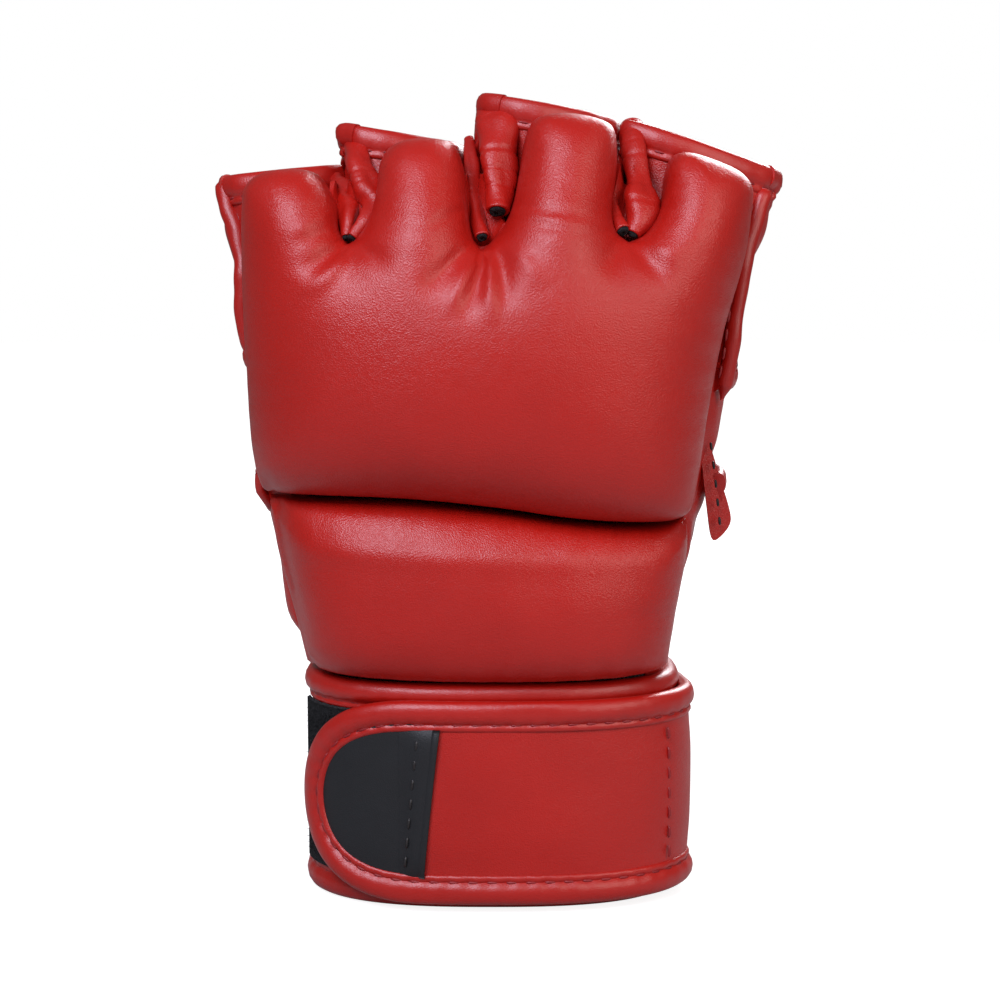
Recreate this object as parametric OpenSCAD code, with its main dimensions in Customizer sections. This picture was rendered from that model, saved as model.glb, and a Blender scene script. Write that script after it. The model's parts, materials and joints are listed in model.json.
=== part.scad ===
// Open-palm MMA glove for a left hand, standing on its cuff with the fingers up.
// Row frame: +X is the thumb side, -Y is the back of the hand, +Y is the palm, +Z is up.
// The origin is the centre of the wrist opening, at the foot of the cuff. Millimetres.

/* [Cuff] */
// Width of the cuff, side to side
cuff_w = 90; // [88:1:94]
// Depth of the cuff, back to palm
cuff_d = 56; // [54:1:60]
// Height of the cuff
cuff_h = 55; // [53:1:56]

/* [Hand] */
// Width of the hand pocket at the finger webs
hand_w = 123; // [120:1:126]
// Depth of the hand pocket at the finger webs
hand_d = 38; // [36:1:40]
// Height of the finger webs
web_z = 159; // [158:1:160]
// Height of the crease between the two back pads
crease_z = 96; // [94:1:98]

/* [Pads] */
// Bulge of the knuckle pad
knuckle_t = 22; // [16:1:25]
// Bulge of the back pad, between the crease and the cuff
back_t = 14; // [10:1:16]
// Bulge of each finger pad
finger_t = 15; // [12:1:18]
// Bulge of the pad on the palm flap
palm_pad_t = 5; // [4:1:7]

/* [Leather] */
// Thickness of the outer leather
skin = 1.6; // [1.2:0.1:1.8]
// Thickness of the lining cloth
cloth = 0.9; // [0.6:0.1:1]
// Wall of the folded binding tape
tape = 1.0; // [0.7:0.1:1.1]
// How far the binding tape laps over an edge
lap = 4.5; // [3:0.5:5]

/* [Hidden] */
$fn = 48;
gap = 0.15;
squareness = 2.6;
band_t = 2.2;
band_foot = 3;
band_top = 3;
patch_t = 0.8;
wrap_off = 4.2;
strap_mid = 3.7;
strap_t = 2.2;
strap_foot = 3.4;
strap_top = 50.4;
strap_mid_z = (strap_foot + strap_top) / 2;
strap_root_a = 82;
tab_a = -15;
tip_a = -62;
flap_root = [[-3, 70], [48, 100]];
flap_edge = [[-4, 73], [-9, 94], [-8, 113], [6, 127.5], [23, 127.5], [40, 113], [48, 103]];
flap_gap = 1.6;
palm_pad_at = [13, 103];
palm_pad_turn = 38;

// ---------------------------------------------------------------- the hand's surface

// Half width and half depth of the hand pocket at a height
function half_w(z) = lookup(z, [
    [cuff_h, 43], [cuff_h + 33, 49.5], [cuff_h + 60, 56], [web_z - 27, hand_w / 2 - 3], [web_z, hand_w / 2]]);
function half_d(z) = lookup(z, [
    [cuff_h, 22], [cuff_h + 33, 20.5], [web_z - 27, hand_d / 2 + 0.5], [web_z, hand_d / 2]]);

function power(v, p) = sign(v) * pow(abs(v), p);

// A point on an oval: a = 0 is the middle of the back, 90 the thumb side, 180 the middle of the palm
function oval(w, d, a, z) = [w * power(sin(a), 2 / squareness), -d * power(cos(a), 2 / squareness), z];
function on_hand(a, z, off) = oval(half_w(z) + off, half_d(z) + off, a, z);
function on_cuff(a, z, off) = oval(cuff_w / 2 + off, cuff_d / 2 + off, a, z);

// The angle that stands over an x on the palm, and the palm point there
function palm_angle(x, z) = 180 - asin(power(min(1, abs(x) / half_w(z)), squareness / 2) * sign(x));
function on_palm(x, z, off) = on_hand(palm_angle(x, z), z, off);

function mix(a, b, t) = a * (1 - t) + b * t;
function unit(v) = v / norm(v);
function dome(u, v, p = 4, q = 6) = sqrt(max(0, 1 - pow(abs(u), p)) * max(0, 1 - pow(abs(v), q)));
function spread(i, n) = sin(180 * i / n - 90);

// A smooth curve through points, t from 0 to 1
function curve(pts, t) =
    let(n = len(pts) - 1, k = min(n - 1, floor(t * n)), f = t * n - k,
        a = pts[max(0, k - 1)], b = pts[k], c = pts[k + 1], d = pts[min(n, k + 2)])
    0.5 * (2 * b + (c - a) * f + (2 * a - 5 * b + 4 * c - d) * f * f + (3 * b - a - 3 * c + d) * f * f * f);

// ---------------------------------------------------------------- solids from grids of points

function quad(a, b, c, d) = [[a, b, c], [a, c, d]];
function signed_volume(pts, faces) = let(parts = [for (f = faces) cross(pts[f[0]], pts[f[1]]) * pts[f[2]]])
    parts * [for (p = parts) 1];

// Closes the space between two grids of points. outer[i][j] and inner[i][j] match, and i wraps round if closed.
module between(outer, inner, closed = false) {
    n = len(outer);
    m = len(outer[0]);
    pts = concat([for (row = outer) each row], [for (row = inner) each row]);
    function o(i, j) = (i % n) * m + j;
    function q(i, j) = n * m + o(i, j);
    last = closed ? n - 1 : n - 2;
    sides = [for (i = [0 : last], j = [0 : m - 2]) each concat(
        quad(o(i, j), o(i + 1, j), o(i + 1, j + 1), o(i, j + 1)),
        quad(q(i, j), q(i, j + 1), q(i + 1, j + 1), q(i + 1, j)))];
    rims = [for (i = [0 : last]) each concat(
        quad(o(i, 0), q(i, 0), q(i + 1, 0), o(i + 1, 0)),
        quad(o(i, m - 1), o(i + 1, m - 1), q(i + 1, m - 1), q(i, m - 1)))];
    ends = closed ? [] : [for (j = [0 : m - 2]) each concat(
        quad(o(0, j), o(0, j + 1), q(0, j + 1), q(0, j)),
        quad(o(n - 1, j), q(n - 1, j), q(n - 1, j + 1), o(n - 1, j + 1)))];
    faces = concat(sides, rims, ends);
    polyhedron(pts, signed_volume(pts, faces) > 0 ? [for (f = faces) [f[2], f[1], f[0]]] : faces);
}

// A sheet of leather or cloth. at(s, t, k) is its point for s and t from 0 to 1, on the inside (k = 0) or outside (k = 1).
module sheet(at, ns, nt, closed = false) {
    last = closed ? ns - 1 : ns;
    between([for (i = [0 : last]) [for (j = [0 : nt]) at(i / ns, j / nt, 1)]],
        [for (i = [0 : last]) [for (j = [0 : nt]) at(i / ns, j / nt, 0)]], closed);
}

// Folded tape over the t = 1 edge of a sheet, with the edge inside its channel
module binding(at, n, closed = false, from = 0, to = 1, step = 0.01) {
    outside = function(h) [[-lap, h + tape], [0.3, h + tape], [gap + tape, 0], [0.3, -h - tape], [-lap, -h - tape]];
    inside = function(h) [[-lap, h], [gap, h], [gap, 0], [gap, -h], [-lap, -h]];
    station = function(s, chain)
        let(top = at(s, 1, 1), low = at(s, 1, 0), mid = (top + low) / 2,
            out = unit(mid - (at(s, 1 - step, 1) + at(s, 1 - step, 0)) / 2),
            face = unit(top - low), h = norm(top - low) / 2 + gap)
        [for (p = chain(h)) mid + out * p[0] + face * p[1]];
    rows = [for (i = [0 : closed ? n - 1 : n]) mix(from, to, i / n)];
    between([for (s = rows) station(s, outside)], [for (s = rows) station(s, inside)], closed);
}

// ---------------------------------------------------------------- cuff

module oval_plate(off) polygon([for (a = [0 : 7.5 : 352.5]) let(p = on_cuff(a, 0, off)) [p[0], p[1]]]);

module cuff_ring(z0, z1, inner, outer) translate([0, 0, z0]) linear_extrude(z1 - z0)
    difference() { oval_plate(outer); oval_plate(inner); }

module cuff_band() color("firebrick") cuff_ring(band_foot, cuff_h - band_top, -band_t, 0);

module cuff_lining() color("black") cuff_ring(lap + 4, cuff_h - 1, -band_t - 1.2 - cloth, -band_t - 1.2);

// Folded tape round one end of the cuff, with the band's edge in its channel
module cuff_binding(z0, z1, band_z0, band_z1) color("firebrick") difference() {
    cuff_ring(z0, z1, -band_t - tape - gap, tape + gap);
    cuff_ring(band_z0 - gap, band_z1 + gap, -band_t - gap, gap);
}

module cuff_foot_binding() cuff_binding(0, band_foot + lap, band_foot, cuff_h);
module cuff_top_binding() cuff_binding(cuff_h - band_top - lap, cuff_h, 0, cuff_h - band_top);

module loop_patch() color("black") sheet(function(s, t, k)
    on_cuff(mix(-10, -78, s), mix(band_foot + lap + 1.5, cuff_h - band_top - lap - 1.5, t), 0.1 + k * patch_t), 14, 1);

// ---------------------------------------------------------------- strap and its tab

strap_at = function(s, t, k)
    on_cuff(mix(strap_root_a, tab_a + 1, s), mix(strap_foot, strap_top, t), strap_mid + (k - 0.5) * strap_t);

// The tab's rounded edge (t = 1) runs from its foot (s = 0) round the tip to its top (s = 1); t = 0 is on the seam
tab_at = function(s, t, k)
    let(turn = mix(-88, 88, s), high = mix(0.5, 1, t) * (strap_top - strap_foot) / 2)
    on_cuff(mix(tab_a, tip_a, t * cos(turn)), strap_mid_z + high * sin(turn), strap_mid + (k - 0.5) * strap_t);

module strap() color("firebrick") sheet(strap_at, 16, 1);
module strap_top_binding() color("firebrick") binding(strap_at, 16);
module strap_foot_binding() color("firebrick") binding(function(s, t, k) strap_at(s, 1 - t, k), 16);
module strap_tab() color("darkslategray") sheet(tab_at, 18, 10);
module strap_tab_binding() color("firebrick") binding(tab_at, 24, from = 0.03, to = 0.97, step = 0.16);

hook_off = strap_mid - strap_t / 2 - 0.3 - patch_t;
module strap_hook_patch() color("black") sheet(function(s, t, k)
    on_cuff(mix(12, tab_a + 3, s), mix(strap_foot + lap + 1.5, strap_top - lap - 1.5, t), hook_off + k * patch_t), 8, 1);
module strap_tab_hook_patch() color("black") sheet(function(s, t, k)
    on_cuff(mix(tab_a - 1, tip_a + 18, s), strap_mid_z + mix(-1, 1, t) * mix(15, 11, s), hook_off + k * patch_t), 12, 1);

// ---------------------------------------------------------------- back of the hand

module back_lining() color("black") sheet(function(s, t, k)
    on_hand(mix(-84, 84, s), mix(cuff_h + 1, web_z - 3, t), -1.5 - cloth + k * cloth), 20, 5);

// A pad on the back: u and v run from -1 to 1 across and up it, and z_low and z_high give its edges
function on_back(u, v, wide, z_low, z_high, off, rise) =
    let(z = mix(z_low, z_high, (v + 1) / 2), p = on_hand(wide * u, z, off)) [p[0], p[1] - rise, z];

module back_pad_cover(wide, z_low, z_high, bulge, ns, nt) between(
    [for (i = [0 : ns]) [for (j = [0 : nt]) let(u = spread(i, ns), v = spread(j, nt))
        on_back(u, v, wide, z_low, z_high, 0.2, skin + bulge * dome(u, v))]],
    [for (i = [0 : ns]) [for (j = [0 : nt]) let(u = spread(i, ns), v = spread(j, nt))
        on_back(u, v, wide, z_low, z_high, 0.2, 0.98 * bulge * dome(u, v))]]);

module back_pad_foam(wide, z_low, z_high, bulge, ns, nt) let(shrink = 0.93) between(
    [for (i = [0 : ns]) [for (j = [0 : nt]) let(u = shrink * spread(i, ns), v = shrink * spread(j, nt))
        on_back(u, v, wide, z_low, z_high, 0.2, 0.85 * bulge * dome(u, v))]],
    [for (i = [0 : ns]) [for (j = [0 : nt]) let(u = shrink * spread(i, ns), v = shrink * spread(j, nt))
        on_back(u, v, wide, z_low, z_high, 0.2, 0)]]);

module back_cover() color("firebrick") back_pad_cover(74, cuff_h + 3, crease_z - 0.6, back_t, 16, 10);
module back_foam() color("dimgray") back_pad_foam(74, cuff_h + 3, crease_z - 0.6, back_t, 12, 6);
module knuckle_cover() color("firebrick") back_pad_cover(77, crease_z + 0.6, web_z - 1.2, knuckle_t, 20, 12);
module knuckle_foam() color("dimgray") back_pad_foam(77, crease_z + 0.6, web_z - 1.2, knuckle_t, 14, 8);

// ---------------------------------------------------------------- sides and palm

module gusset(a0, a1) color("firebrick") sheet(function(s, t, k)
    on_hand(mix(a0, a1, s), mix(cuff_h + 0.6, web_z - 4.5, t), -1.3 - (1 - k) * (skin - 0.1)), 6, 6);
module pinky_gusset() gusset(248, 275.5);
module thumb_gusset() gusset(84.5, 112);

function band_low_z(x) = web_z - 20 - 12 * pow(x / 60, 2) - 2.3 * x / 60;
function band_top_z(x) = lookup(x, [
    [-52, web_z - 3], [-44, web_z - 12], [-26, web_z - 11.5], [8, web_z - 4.5],
    [26, web_z - 6], [44, web_z - 10], [52, web_z - 3]]);
palm_band_at = function(s, t, k)
    let(a = mix(97, 263, s), x = on_hand(a, web_z - 20, 0)[0])
    on_hand(a, mix(band_low_z(x), band_top_z(x), t), k * skin);

module palm_band() color("firebrick") sheet(palm_band_at, 24, 2);
module palm_band_top_binding() color("firebrick") binding(palm_band_at, 14, from = 0.28, to = 0.72);
module palm_band_low_binding() color("firebrick") binding(function(s, t, k) palm_band_at(s, 1 - t, k), 24);

function wrap_top_z(x) = lookup(x, [
    [-58, cuff_h + 47], [-36, cuff_h + 33], [-7, cuff_h + 16.5], [22, cuff_h + 8], [46, cuff_h + 5]]);
wrap_at = function(s, t, k)
    let(a = mix(146, 268, s), x = on_hand(a, cuff_h + 30, wrap_off)[0])
    on_hand(a, mix(cuff_h + 0.8, wrap_top_z(x), t), wrap_off + k * skin);

module wrap_panel() color("firebrick") sheet(wrap_at, 20, 3);
module wrap_binding() color("firebrick") binding(wrap_at, 20);

// The flap bends outwards about the straight line flap_root
function root_point(t) = mix(flap_root[0], flap_root[1], t);
function root_z(x) = lookup(x, [flap_root[0], flap_root[1]]);
module thumb_panel() color("firebrick") sheet(function(s, t, k)
    let(a = mix(186, 94, s), x = on_hand(a, cuff_h + 30, 0)[0])
    on_hand(a, mix(cuff_h + 0.8, root_z(x) - flap_gap, t), k * skin), 16, 4);

flap_at = function(s, t, k)
    let(p = mix(root_point(mix(0.02, 0.98, s)) + [0, flap_gap], curve(flap_edge, s), t)) on_palm(p[0], p[1], k * skin);
module flap() color("firebrick") sheet(flap_at, 18, 5);
module flap_binding() color("firebrick") binding(flap_at, 24, from = 0.06, to = 0.94);

// The palm pad is a rounded square on the flap: u and v run from -1 to 1
function on_pad(u, v, size, off) =
    let(r = [u * sqrt(1 - v * v * 0.4) * 16.5, v * sqrt(1 - u * u * 0.4) * 17.5] * size,
        x = palm_pad_at[0] + r[0] * cos(palm_pad_turn) - r[1] * sin(palm_pad_turn),
        z = palm_pad_at[1] + r[0] * sin(palm_pad_turn) + r[1] * cos(palm_pad_turn))
    on_palm(x, z, skin + 0.3 + off);
module palm_pad_cover() color("firebrick") let(n = 10) between(
    [for (i = [0 : n]) [for (j = [0 : n]) let(u = spread(i, n), v = spread(j, n))
        on_pad(u, v, 1, 1.2 + palm_pad_t * dome(u, v, 6, 6))]],
    [for (i = [0 : n]) [for (j = [0 : n]) let(u = spread(i, n), v = spread(j, n))
        on_pad(u, v, 1, 0.97 * palm_pad_t * dome(u, v, 6, 6))]]);
module palm_pad_foam() color("dimgray") let(n = 6) between(
    [for (i = [0 : n]) [for (j = [0 : n]) let(u = 0.9 * spread(i, n), v = 0.9 * spread(j, n))
        on_pad(u, v, 1, 0.75 * palm_pad_t * dome(u, v, 6, 6))]],
    [for (i = [0 : n]) [for (j = [0 : n]) let(u = 0.9 * spread(i, n), v = 0.9 * spread(j, n))
        on_pad(u, v, 1, 0)]]);

// ---------------------------------------------------------------- fingers

// Each finger sleeve is an oval tube from its foot to its slanted rim. A row holds the foot and rim ovals as
// [centre x, half width, centre y, half depth], the rim's height at the back and at the palm, and its rise to +X.
PINKY = [[-46, 12, 0, 10.5], [-52.5, 13.6, 1, 8.5], 16, 10, 4];
RING = [[-17.5, 11.2, -1, 10.5], [-19.8, 13.2, -1, 8.5], 27, 22, -1];
MIDDLE = [[16.5, 12.5, 0, 11.5], [16, 16.2, 2, 13], 34.5, 12.5, 1];
INDEX = [[48.5, 12.5, 0, 11], [53.8, 15, 0.5, 8.5], 24, 20, -6];
sleeve_foot = web_z - 2;

function tube_at(f, b, t, off) =
    let(o = mix(f[0], f[1], t), rise = (f[2] + f[3]) / 2 - (f[2] - f[3]) / 2 * cos(b) + f[4] * sin(b))
    [o[0] + (o[1] + off) * sin(b), o[2] + (o[3] + off) * cos(b), mix(sleeve_foot, web_z + rise, t)];
function sleeve_at(f, off, thick) = function(s, t, k) tube_at(f, 360 * s, t, off + (k - 1) * thick);

module sleeve(f) color("firebrick") sheet(sleeve_at(f, 0, skin - 0.4), 24, 3, closed = true);
module sleeve_lining(f) color("black") sheet(function(s, t, k)
    tube_at(f, 360 * s, mix(0.05, 0.5, t), -skin - 0.2 + (k - 1) * cloth), 20, 2, closed = true);
module rim_binding(f) color("firebrick") binding(sleeve_at(f, 0, skin - 0.4), 24, closed = true);

// The finger pad sits on the back of its sleeve, between foot and rim
function pad_point(f, u, v, rise) =
    let(t = (v + 1) / 2, o = mix(f[0], f[1], t), z = mix(web_z + 1.4, web_z + f[2] - 1.5 + f[4] * u, t))
    [o[0] + u * (o[1] - 2), o[2] - o[3] - 2.1 - rise * mix(1.2, 0.6, t), z];
module finger_cover(f) color("firebrick") let(n = 10, m = 8) between(
    [for (i = [0 : n]) [for (j = [0 : m]) let(u = spread(i, n), v = spread(j, m))
        pad_point(f, u, v, skin + finger_t * dome(u, v, 3, 8))]],
    [for (i = [0 : n]) [for (j = [0 : m]) let(u = spread(i, n), v = spread(j, m))
        pad_point(f, u, v, 0.97 * finger_t * dome(u, v, 3, 8))]]);
module finger_foam(f) color("dimgray") let(n = 8, m = 6) between(
    [for (i = [0 : n]) [for (j = [0 : m]) let(u = 0.9 * spread(i, n), v = 0.9 * spread(j, m))
        pad_point(f, u, v, 0.8 * finger_t * dome(u, v, 3, 8))]],
    [for (i = [0 : n]) [for (j = [0 : m]) let(u = 0.9 * spread(i, n), v = 0.9 * spread(j, m))
        pad_point(f, u, v, 0)]]);

// ---------------------------------------------------------------- assembly

cuff_band();
cuff_lining();
cuff_foot_binding();
cuff_top_binding();
loop_patch();
back_lining();
back_foam();
back_cover();
knuckle_foam();
knuckle_cover();
pinky_gusset();
thumb_gusset();
palm_band();
palm_band_top_binding();
palm_band_low_binding();
wrap_panel();
wrap_binding();
thumb_panel();
strap();
strap_top_binding();
strap_foot_binding();
strap_hook_patch();
strap_tab();
strap_tab_binding();
strap_tab_hook_patch();
flap();
flap_binding();
palm_pad_foam();
palm_pad_cover();
sleeve(PINKY);  // pinky_sleeve
sleeve_lining(PINKY);  // pinky_lining
rim_binding(PINKY);  // pinky_rim_binding
finger_foam(PINKY);  // pinky_foam
finger_cover(PINKY);  // pinky_cover
sleeve(RING);  // ring_sleeve
sleeve_lining(RING);  // ring_lining
rim_binding(RING);  // ring_rim_binding
finger_foam(RING);  // ring_foam
finger_cover(RING);  // ring_cover
sleeve(MIDDLE);  // middle_sleeve
sleeve_lining(MIDDLE);  // middle_lining
rim_binding(MIDDLE);  // middle_rim_binding
finger_foam(MIDDLE);  // middle_foam
finger_cover(MIDDLE);  // middle_cover
sleeve(INDEX);  // index_sleeve
sleeve_lining(INDEX);  // index_lining
rim_binding(INDEX);  // index_rim_binding
finger_foam(INDEX);  // index_foam
finger_cover(INDEX);  // index_cover
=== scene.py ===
"""The looks of an open-palm MMA glove for a left hand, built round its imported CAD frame.

Sizes in this file are in millimetres, in the row frame: +X is the thumb side, -Y the back of the hand, +Y the
palm and +Z the fingertips.
"""

import json
import math

import bpy
import numpy as np
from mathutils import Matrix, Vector, geometry


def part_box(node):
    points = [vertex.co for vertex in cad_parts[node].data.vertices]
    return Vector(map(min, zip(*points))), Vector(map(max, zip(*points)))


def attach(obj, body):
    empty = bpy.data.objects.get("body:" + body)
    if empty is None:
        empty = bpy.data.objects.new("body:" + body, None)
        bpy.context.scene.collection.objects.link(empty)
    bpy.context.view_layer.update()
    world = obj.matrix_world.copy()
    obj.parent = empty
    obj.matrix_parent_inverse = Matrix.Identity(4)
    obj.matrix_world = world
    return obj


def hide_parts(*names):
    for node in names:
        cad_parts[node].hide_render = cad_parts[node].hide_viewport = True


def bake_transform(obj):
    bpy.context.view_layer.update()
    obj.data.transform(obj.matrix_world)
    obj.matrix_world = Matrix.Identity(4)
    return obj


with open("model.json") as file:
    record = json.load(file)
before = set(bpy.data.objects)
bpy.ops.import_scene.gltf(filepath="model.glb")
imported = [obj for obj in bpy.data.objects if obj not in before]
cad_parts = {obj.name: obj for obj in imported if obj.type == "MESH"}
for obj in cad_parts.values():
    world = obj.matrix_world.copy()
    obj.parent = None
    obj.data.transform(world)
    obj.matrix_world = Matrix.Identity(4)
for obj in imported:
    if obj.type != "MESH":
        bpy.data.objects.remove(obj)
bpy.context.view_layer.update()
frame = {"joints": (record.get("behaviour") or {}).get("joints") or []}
MM = 0.001


def corners(node):
    """Lowest and highest corner of a CAD node, in millimetres."""
    low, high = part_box(node)
    return np.array(low) / MM, np.array(high) / MM


# ------------------------------------------------------------------ driving values

SQUARENESS = 2.6
CUFF_W = 90.0
CUFF_D = 56.0
CUFF_H = corners("cuff_top_binding")[1][2]
WEB_Z = corners("knuckle_cover")[1][2] + 1.2
CREASE_Z = (corners("knuckle_cover")[0][2] + corners("back_cover")[1][2]) / 2
HAND_W = 123.0
HAND_D = 38.0
SKIN = 1.4
STITCH_PITCH = 4.6
STITCH_L = 3.0
STITCH_R = 0.32

RED = (0.415, 0.0072, 0.0034)
DARK_RED = (0.20, 0.006, 0.008)
BLACK = (0.008, 0.008, 0.0095)


# ------------------------------------------------------------------ numbers


def table(z, rows):
    """Straight-line lookup of z in rows of (z, value)."""
    zs, values = zip(*rows)
    return np.interp(z, zs, values)


def power(v, p):
    return np.sign(v) * np.abs(v) ** p


def circle(n):
    """n even angles round a circle, in radians."""
    return np.linspace(0, 2 * math.pi, n + 1)[:-1]


def unit(v):
    return v / np.maximum(np.linalg.norm(v, axis=-1, keepdims=True), 1e-9)


def mix(a, b, t):
    return a * (1 - t) + b * t


def step(x, low, high):
    """0 below low, 1 above high, smooth between."""
    t = np.clip((x - low) / (high - low), 0, 1)
    return t * t * (3 - 2 * t)


def curve(points, n, closed=False):
    """n points along a smooth curve through the given points."""
    p = np.array(points, float)
    if closed:
        p = np.concatenate([p[-1:], p, p[:2]])
    else:
        p = np.concatenate([2 * p[:1] - p[1:2], p, 2 * p[-1:] - p[-2:-1]])
    spans = len(p) - 3
    t = np.linspace(0, spans, n, endpoint=not closed)
    k = np.minimum(t.astype(int), spans - 1)
    f = (t - k)[:, None]
    a, b, c, d = p[k], p[k + 1], p[k + 2], p[k + 3]
    cubic = (3 * b - a - 3 * c + d) * f**3
    return 0.5 * (2 * b + (c - a) * f + (2 * a - 5 * b + 4 * c - d) * f**2 + cubic)


def lengths(points, closed=False):
    """Distance along a line of points, from 0 at the first."""
    p = np.concatenate([points, points[:1]]) if closed else points
    return np.concatenate([[0], np.cumsum(np.linalg.norm(np.diff(p, axis=0), axis=1))])


def path_frame(line):
    """Unit directions along a line that runs down the hand, to its side, and to the front of both."""
    along = unit(np.gradient(line, axis=0))
    side = unit(np.cross(along, [0.0, -1.0, 0.0]))
    return along, side, np.cross(along, side)


def resample(arrays, spacing, closed=False):
    """The arrays that go with a line of points, taken again at even spacing along the first of them."""
    s = lengths(arrays[0], closed)
    n = max(3, int(round(s[-1] / spacing)))
    at = np.linspace(0, s[-1], n + (0 if closed else 1), endpoint=not closed)
    out = []
    for a in arrays:
        a = np.concatenate([a, a[:1]]) if closed else a
        out.append(np.stack([np.interp(at, s, a[:, k]) for k in range(a.shape[1])], -1))
    return out


def wander(p, size, seed):
    """Smooth uneven noise, mostly between -1 and 1, over points p; its bumps are about size wide."""
    rng = np.random.default_rng(seed)
    total = np.zeros(p.shape[:-1])
    for _ in range(9):
        direction = unit(rng.normal(size=p.shape[-1]))
        length = size * rng.uniform(1.1, 2.4)
        total += np.sin(p @ direction * (2 * math.pi / length) + rng.uniform(0, 2 * math.pi))
    return total / 4.2


# ------------------------------------------------------------------ the hand's surface, as in the CAD

def half_w(z):
    """Half the width of the hand at a height."""
    return table(z, [(CUFF_H, 43), (CUFF_H + 33, 49.5), (CUFF_H + 60, 56), (WEB_Z - 27, HAND_W / 2 - 3),
                     (WEB_Z, HAND_W / 2)])


def half_d(z):
    """Half the depth of the hand at a height."""
    return table(z, [(CUFF_H, 22), (CUFF_H + 33, 20.5), (WEB_Z - 27, HAND_D / 2 + 0.5), (WEB_Z, HAND_D / 2)])


def oval(w, d, a, z):
    """A point on an oval: a = 0 is the middle of the back, 90 the thumb side, 180 the middle of the palm."""
    a, z = np.broadcast_arrays(np.radians(a), z)
    x = w * power(np.sin(a), 2 / SQUARENESS)
    return np.stack([x, -d * power(np.cos(a), 2 / SQUARENESS), z + 0.0], -1)


def on_hand(a, z, off=0.0):
    return oval(half_w(z) + off, half_d(z) + off, a, z)


def on_cuff(a, z, off=0.0):
    return oval(CUFF_W / 2 + off, CUFF_D / 2 + off, a, z)


def even_angles(a0, a1, n):
    """n angles round the cuff from a0 to a1 that stand at even distances."""
    fine = np.linspace(a0, a1, 2000)
    s = lengths(on_cuff(fine, 0.0))
    return np.interp(np.linspace(0, s[-1], n), s, fine)


def back_y(x, z):
    """Depth of the hand's back under a point."""
    share = np.clip(np.abs(x) / half_w(z), 0, 0.995)
    return -half_d(z) * (1 - share**SQUARENESS) ** (1 / SQUARENESS)


def on_palm(x, z, off=0.0):
    """Points of the hand's palm side at given x and z."""
    share = np.clip(np.abs(x) / half_w(z), 0, 1)
    a = 180 - np.degrees(np.arcsin(share ** (SQUARENESS / 2))) * np.sign(x)
    return on_hand(a, z, off)


# ------------------------------------------------------------------ meshes

def link(name, data):
    """A new object that holds the data, in the scene."""
    obj = bpy.data.objects.new(name, data)
    bpy.context.scene.collection.objects.link(obj)
    return obj


def make_mesh(name, verts, faces, material):
    mesh = bpy.data.meshes.new(name)
    mesh.from_pydata((np.asarray(verts) * MM).tolist(), [], [list(map(int, f)) for f in faces])
    mesh.validate()
    mesh.polygons.foreach_set("use_smooth", [True] * len(mesh.polygons))
    mesh.materials.append(material)
    mesh.update()
    return link(name, mesh)


def tube_faces(n, m, closed):
    """Quads between n rings of m points, and from the last ring to the first if closed."""
    i, j = np.meshgrid(np.arange(n if closed else n - 1), np.arange(m), indexing="ij")
    i, j = i.ravel(), j.ravel()
    i2, j2 = (i + 1) % n, (j + 1) % m
    return np.stack([i * m + j, i2 * m + j, i2 * m + j2, i * m + j2], -1)


def end_faces(n, m, base=0):
    """The two flat ends of a tube of n rings of m points."""
    return [tuple(base + k for k in range(m))[::-1], tuple(base + (n - 1) * m + k for k in range(m))]


def closed_tube(name, rows, material):
    """A tube through rings of points, closed at both ends."""
    n, m = rows.shape[:2]
    return make_mesh(name, rows.reshape(-1, 3), [*tube_faces(n, m, False), *end_faces(n, m)], material)


def grid_normals(p, closed=False):
    """Unit normals of a grid of points; du x dv."""
    if closed:
        du = np.roll(p, -1, 0) - np.roll(p, 1, 0)
    else:
        du = np.gradient(p, axis=0)
    return unit(np.cross(du, np.gradient(p, axis=1)))


def out_normals(grid):
    """Unit normals of a grid of points, away from the hand's axis."""
    normals = grid_normals(grid)
    return normals * np.sign(np.sum(normals * grid * [1, 1, 0]))


def swelled(grid, height):
    """A grid of points moved out from the hand's axis by the height given for each point."""
    return grid + out_normals(grid) * height[..., None]


def sheet(name, outer, inner, material, closed=False):
    """A closed solid between two matching grids of points."""
    n, m = outer.shape[:2]
    ring = np.concatenate([outer, inner[:, ::-1]], axis=1)
    faces = list(tube_faces(n, 2 * m, closed))
    if not closed:
        width = 2 * m
        for row, flip in ((0, False), (n - 1, True)):
            for j in range(m - 1):
                near, far = row * width + j, (row + 1) * width - 1 - j
                quad = (near, near + 1, far - 1, far)
                faces.append(quad[::-1] if flip else quad)
    obj = make_mesh(name, ring.reshape(-1, 3), faces, material)
    crease_edges(obj)
    return obj


def crease_edges(obj, angle=50):
    """Shades obj smooth, with hard edges where its faces meet at more than angle."""
    obj.data.set_sharp_from_angle(angle=math.radians(angle))


def leather_sheet(name, outer, material, thick=SKIN, closed=False):
    """A sheet of leather whose outside is the grid outer, and whose inside lies towards the hand's axis."""
    normals = grid_normals(outer, closed)
    inward = outer.mean(axis=(0, 1)) * [0, 0, 1] - outer
    if np.sum(normals * inward) > 0:
        normals = -normals
    return sheet(name, outer, outer - normals * thick, material, closed), normals


# Half of a folded tape's cross-section: how far in from the edge, and how high above the leather's middle
TAPE_PROFILE = [
    (-1.0, 0.0), (-0.85, 0.75), (-0.35, 1.35), (0.6, 1.8), (2.0, 2.0), (3.2, 1.8), (4.1, 1.3), (4.6, 0.85),
    (5.1, 1.15), (5.7, 1.2), (6.2, 0.95), (6.45, 0.4),
]
GROOVE_AT = 4.6
# how deep each stitch pulls the tape in, how much its fold beads between them, and how uneven the fold is
DIMPLE, BEAD, UNEVEN = 0.16, 0.035, 0.16


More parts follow.
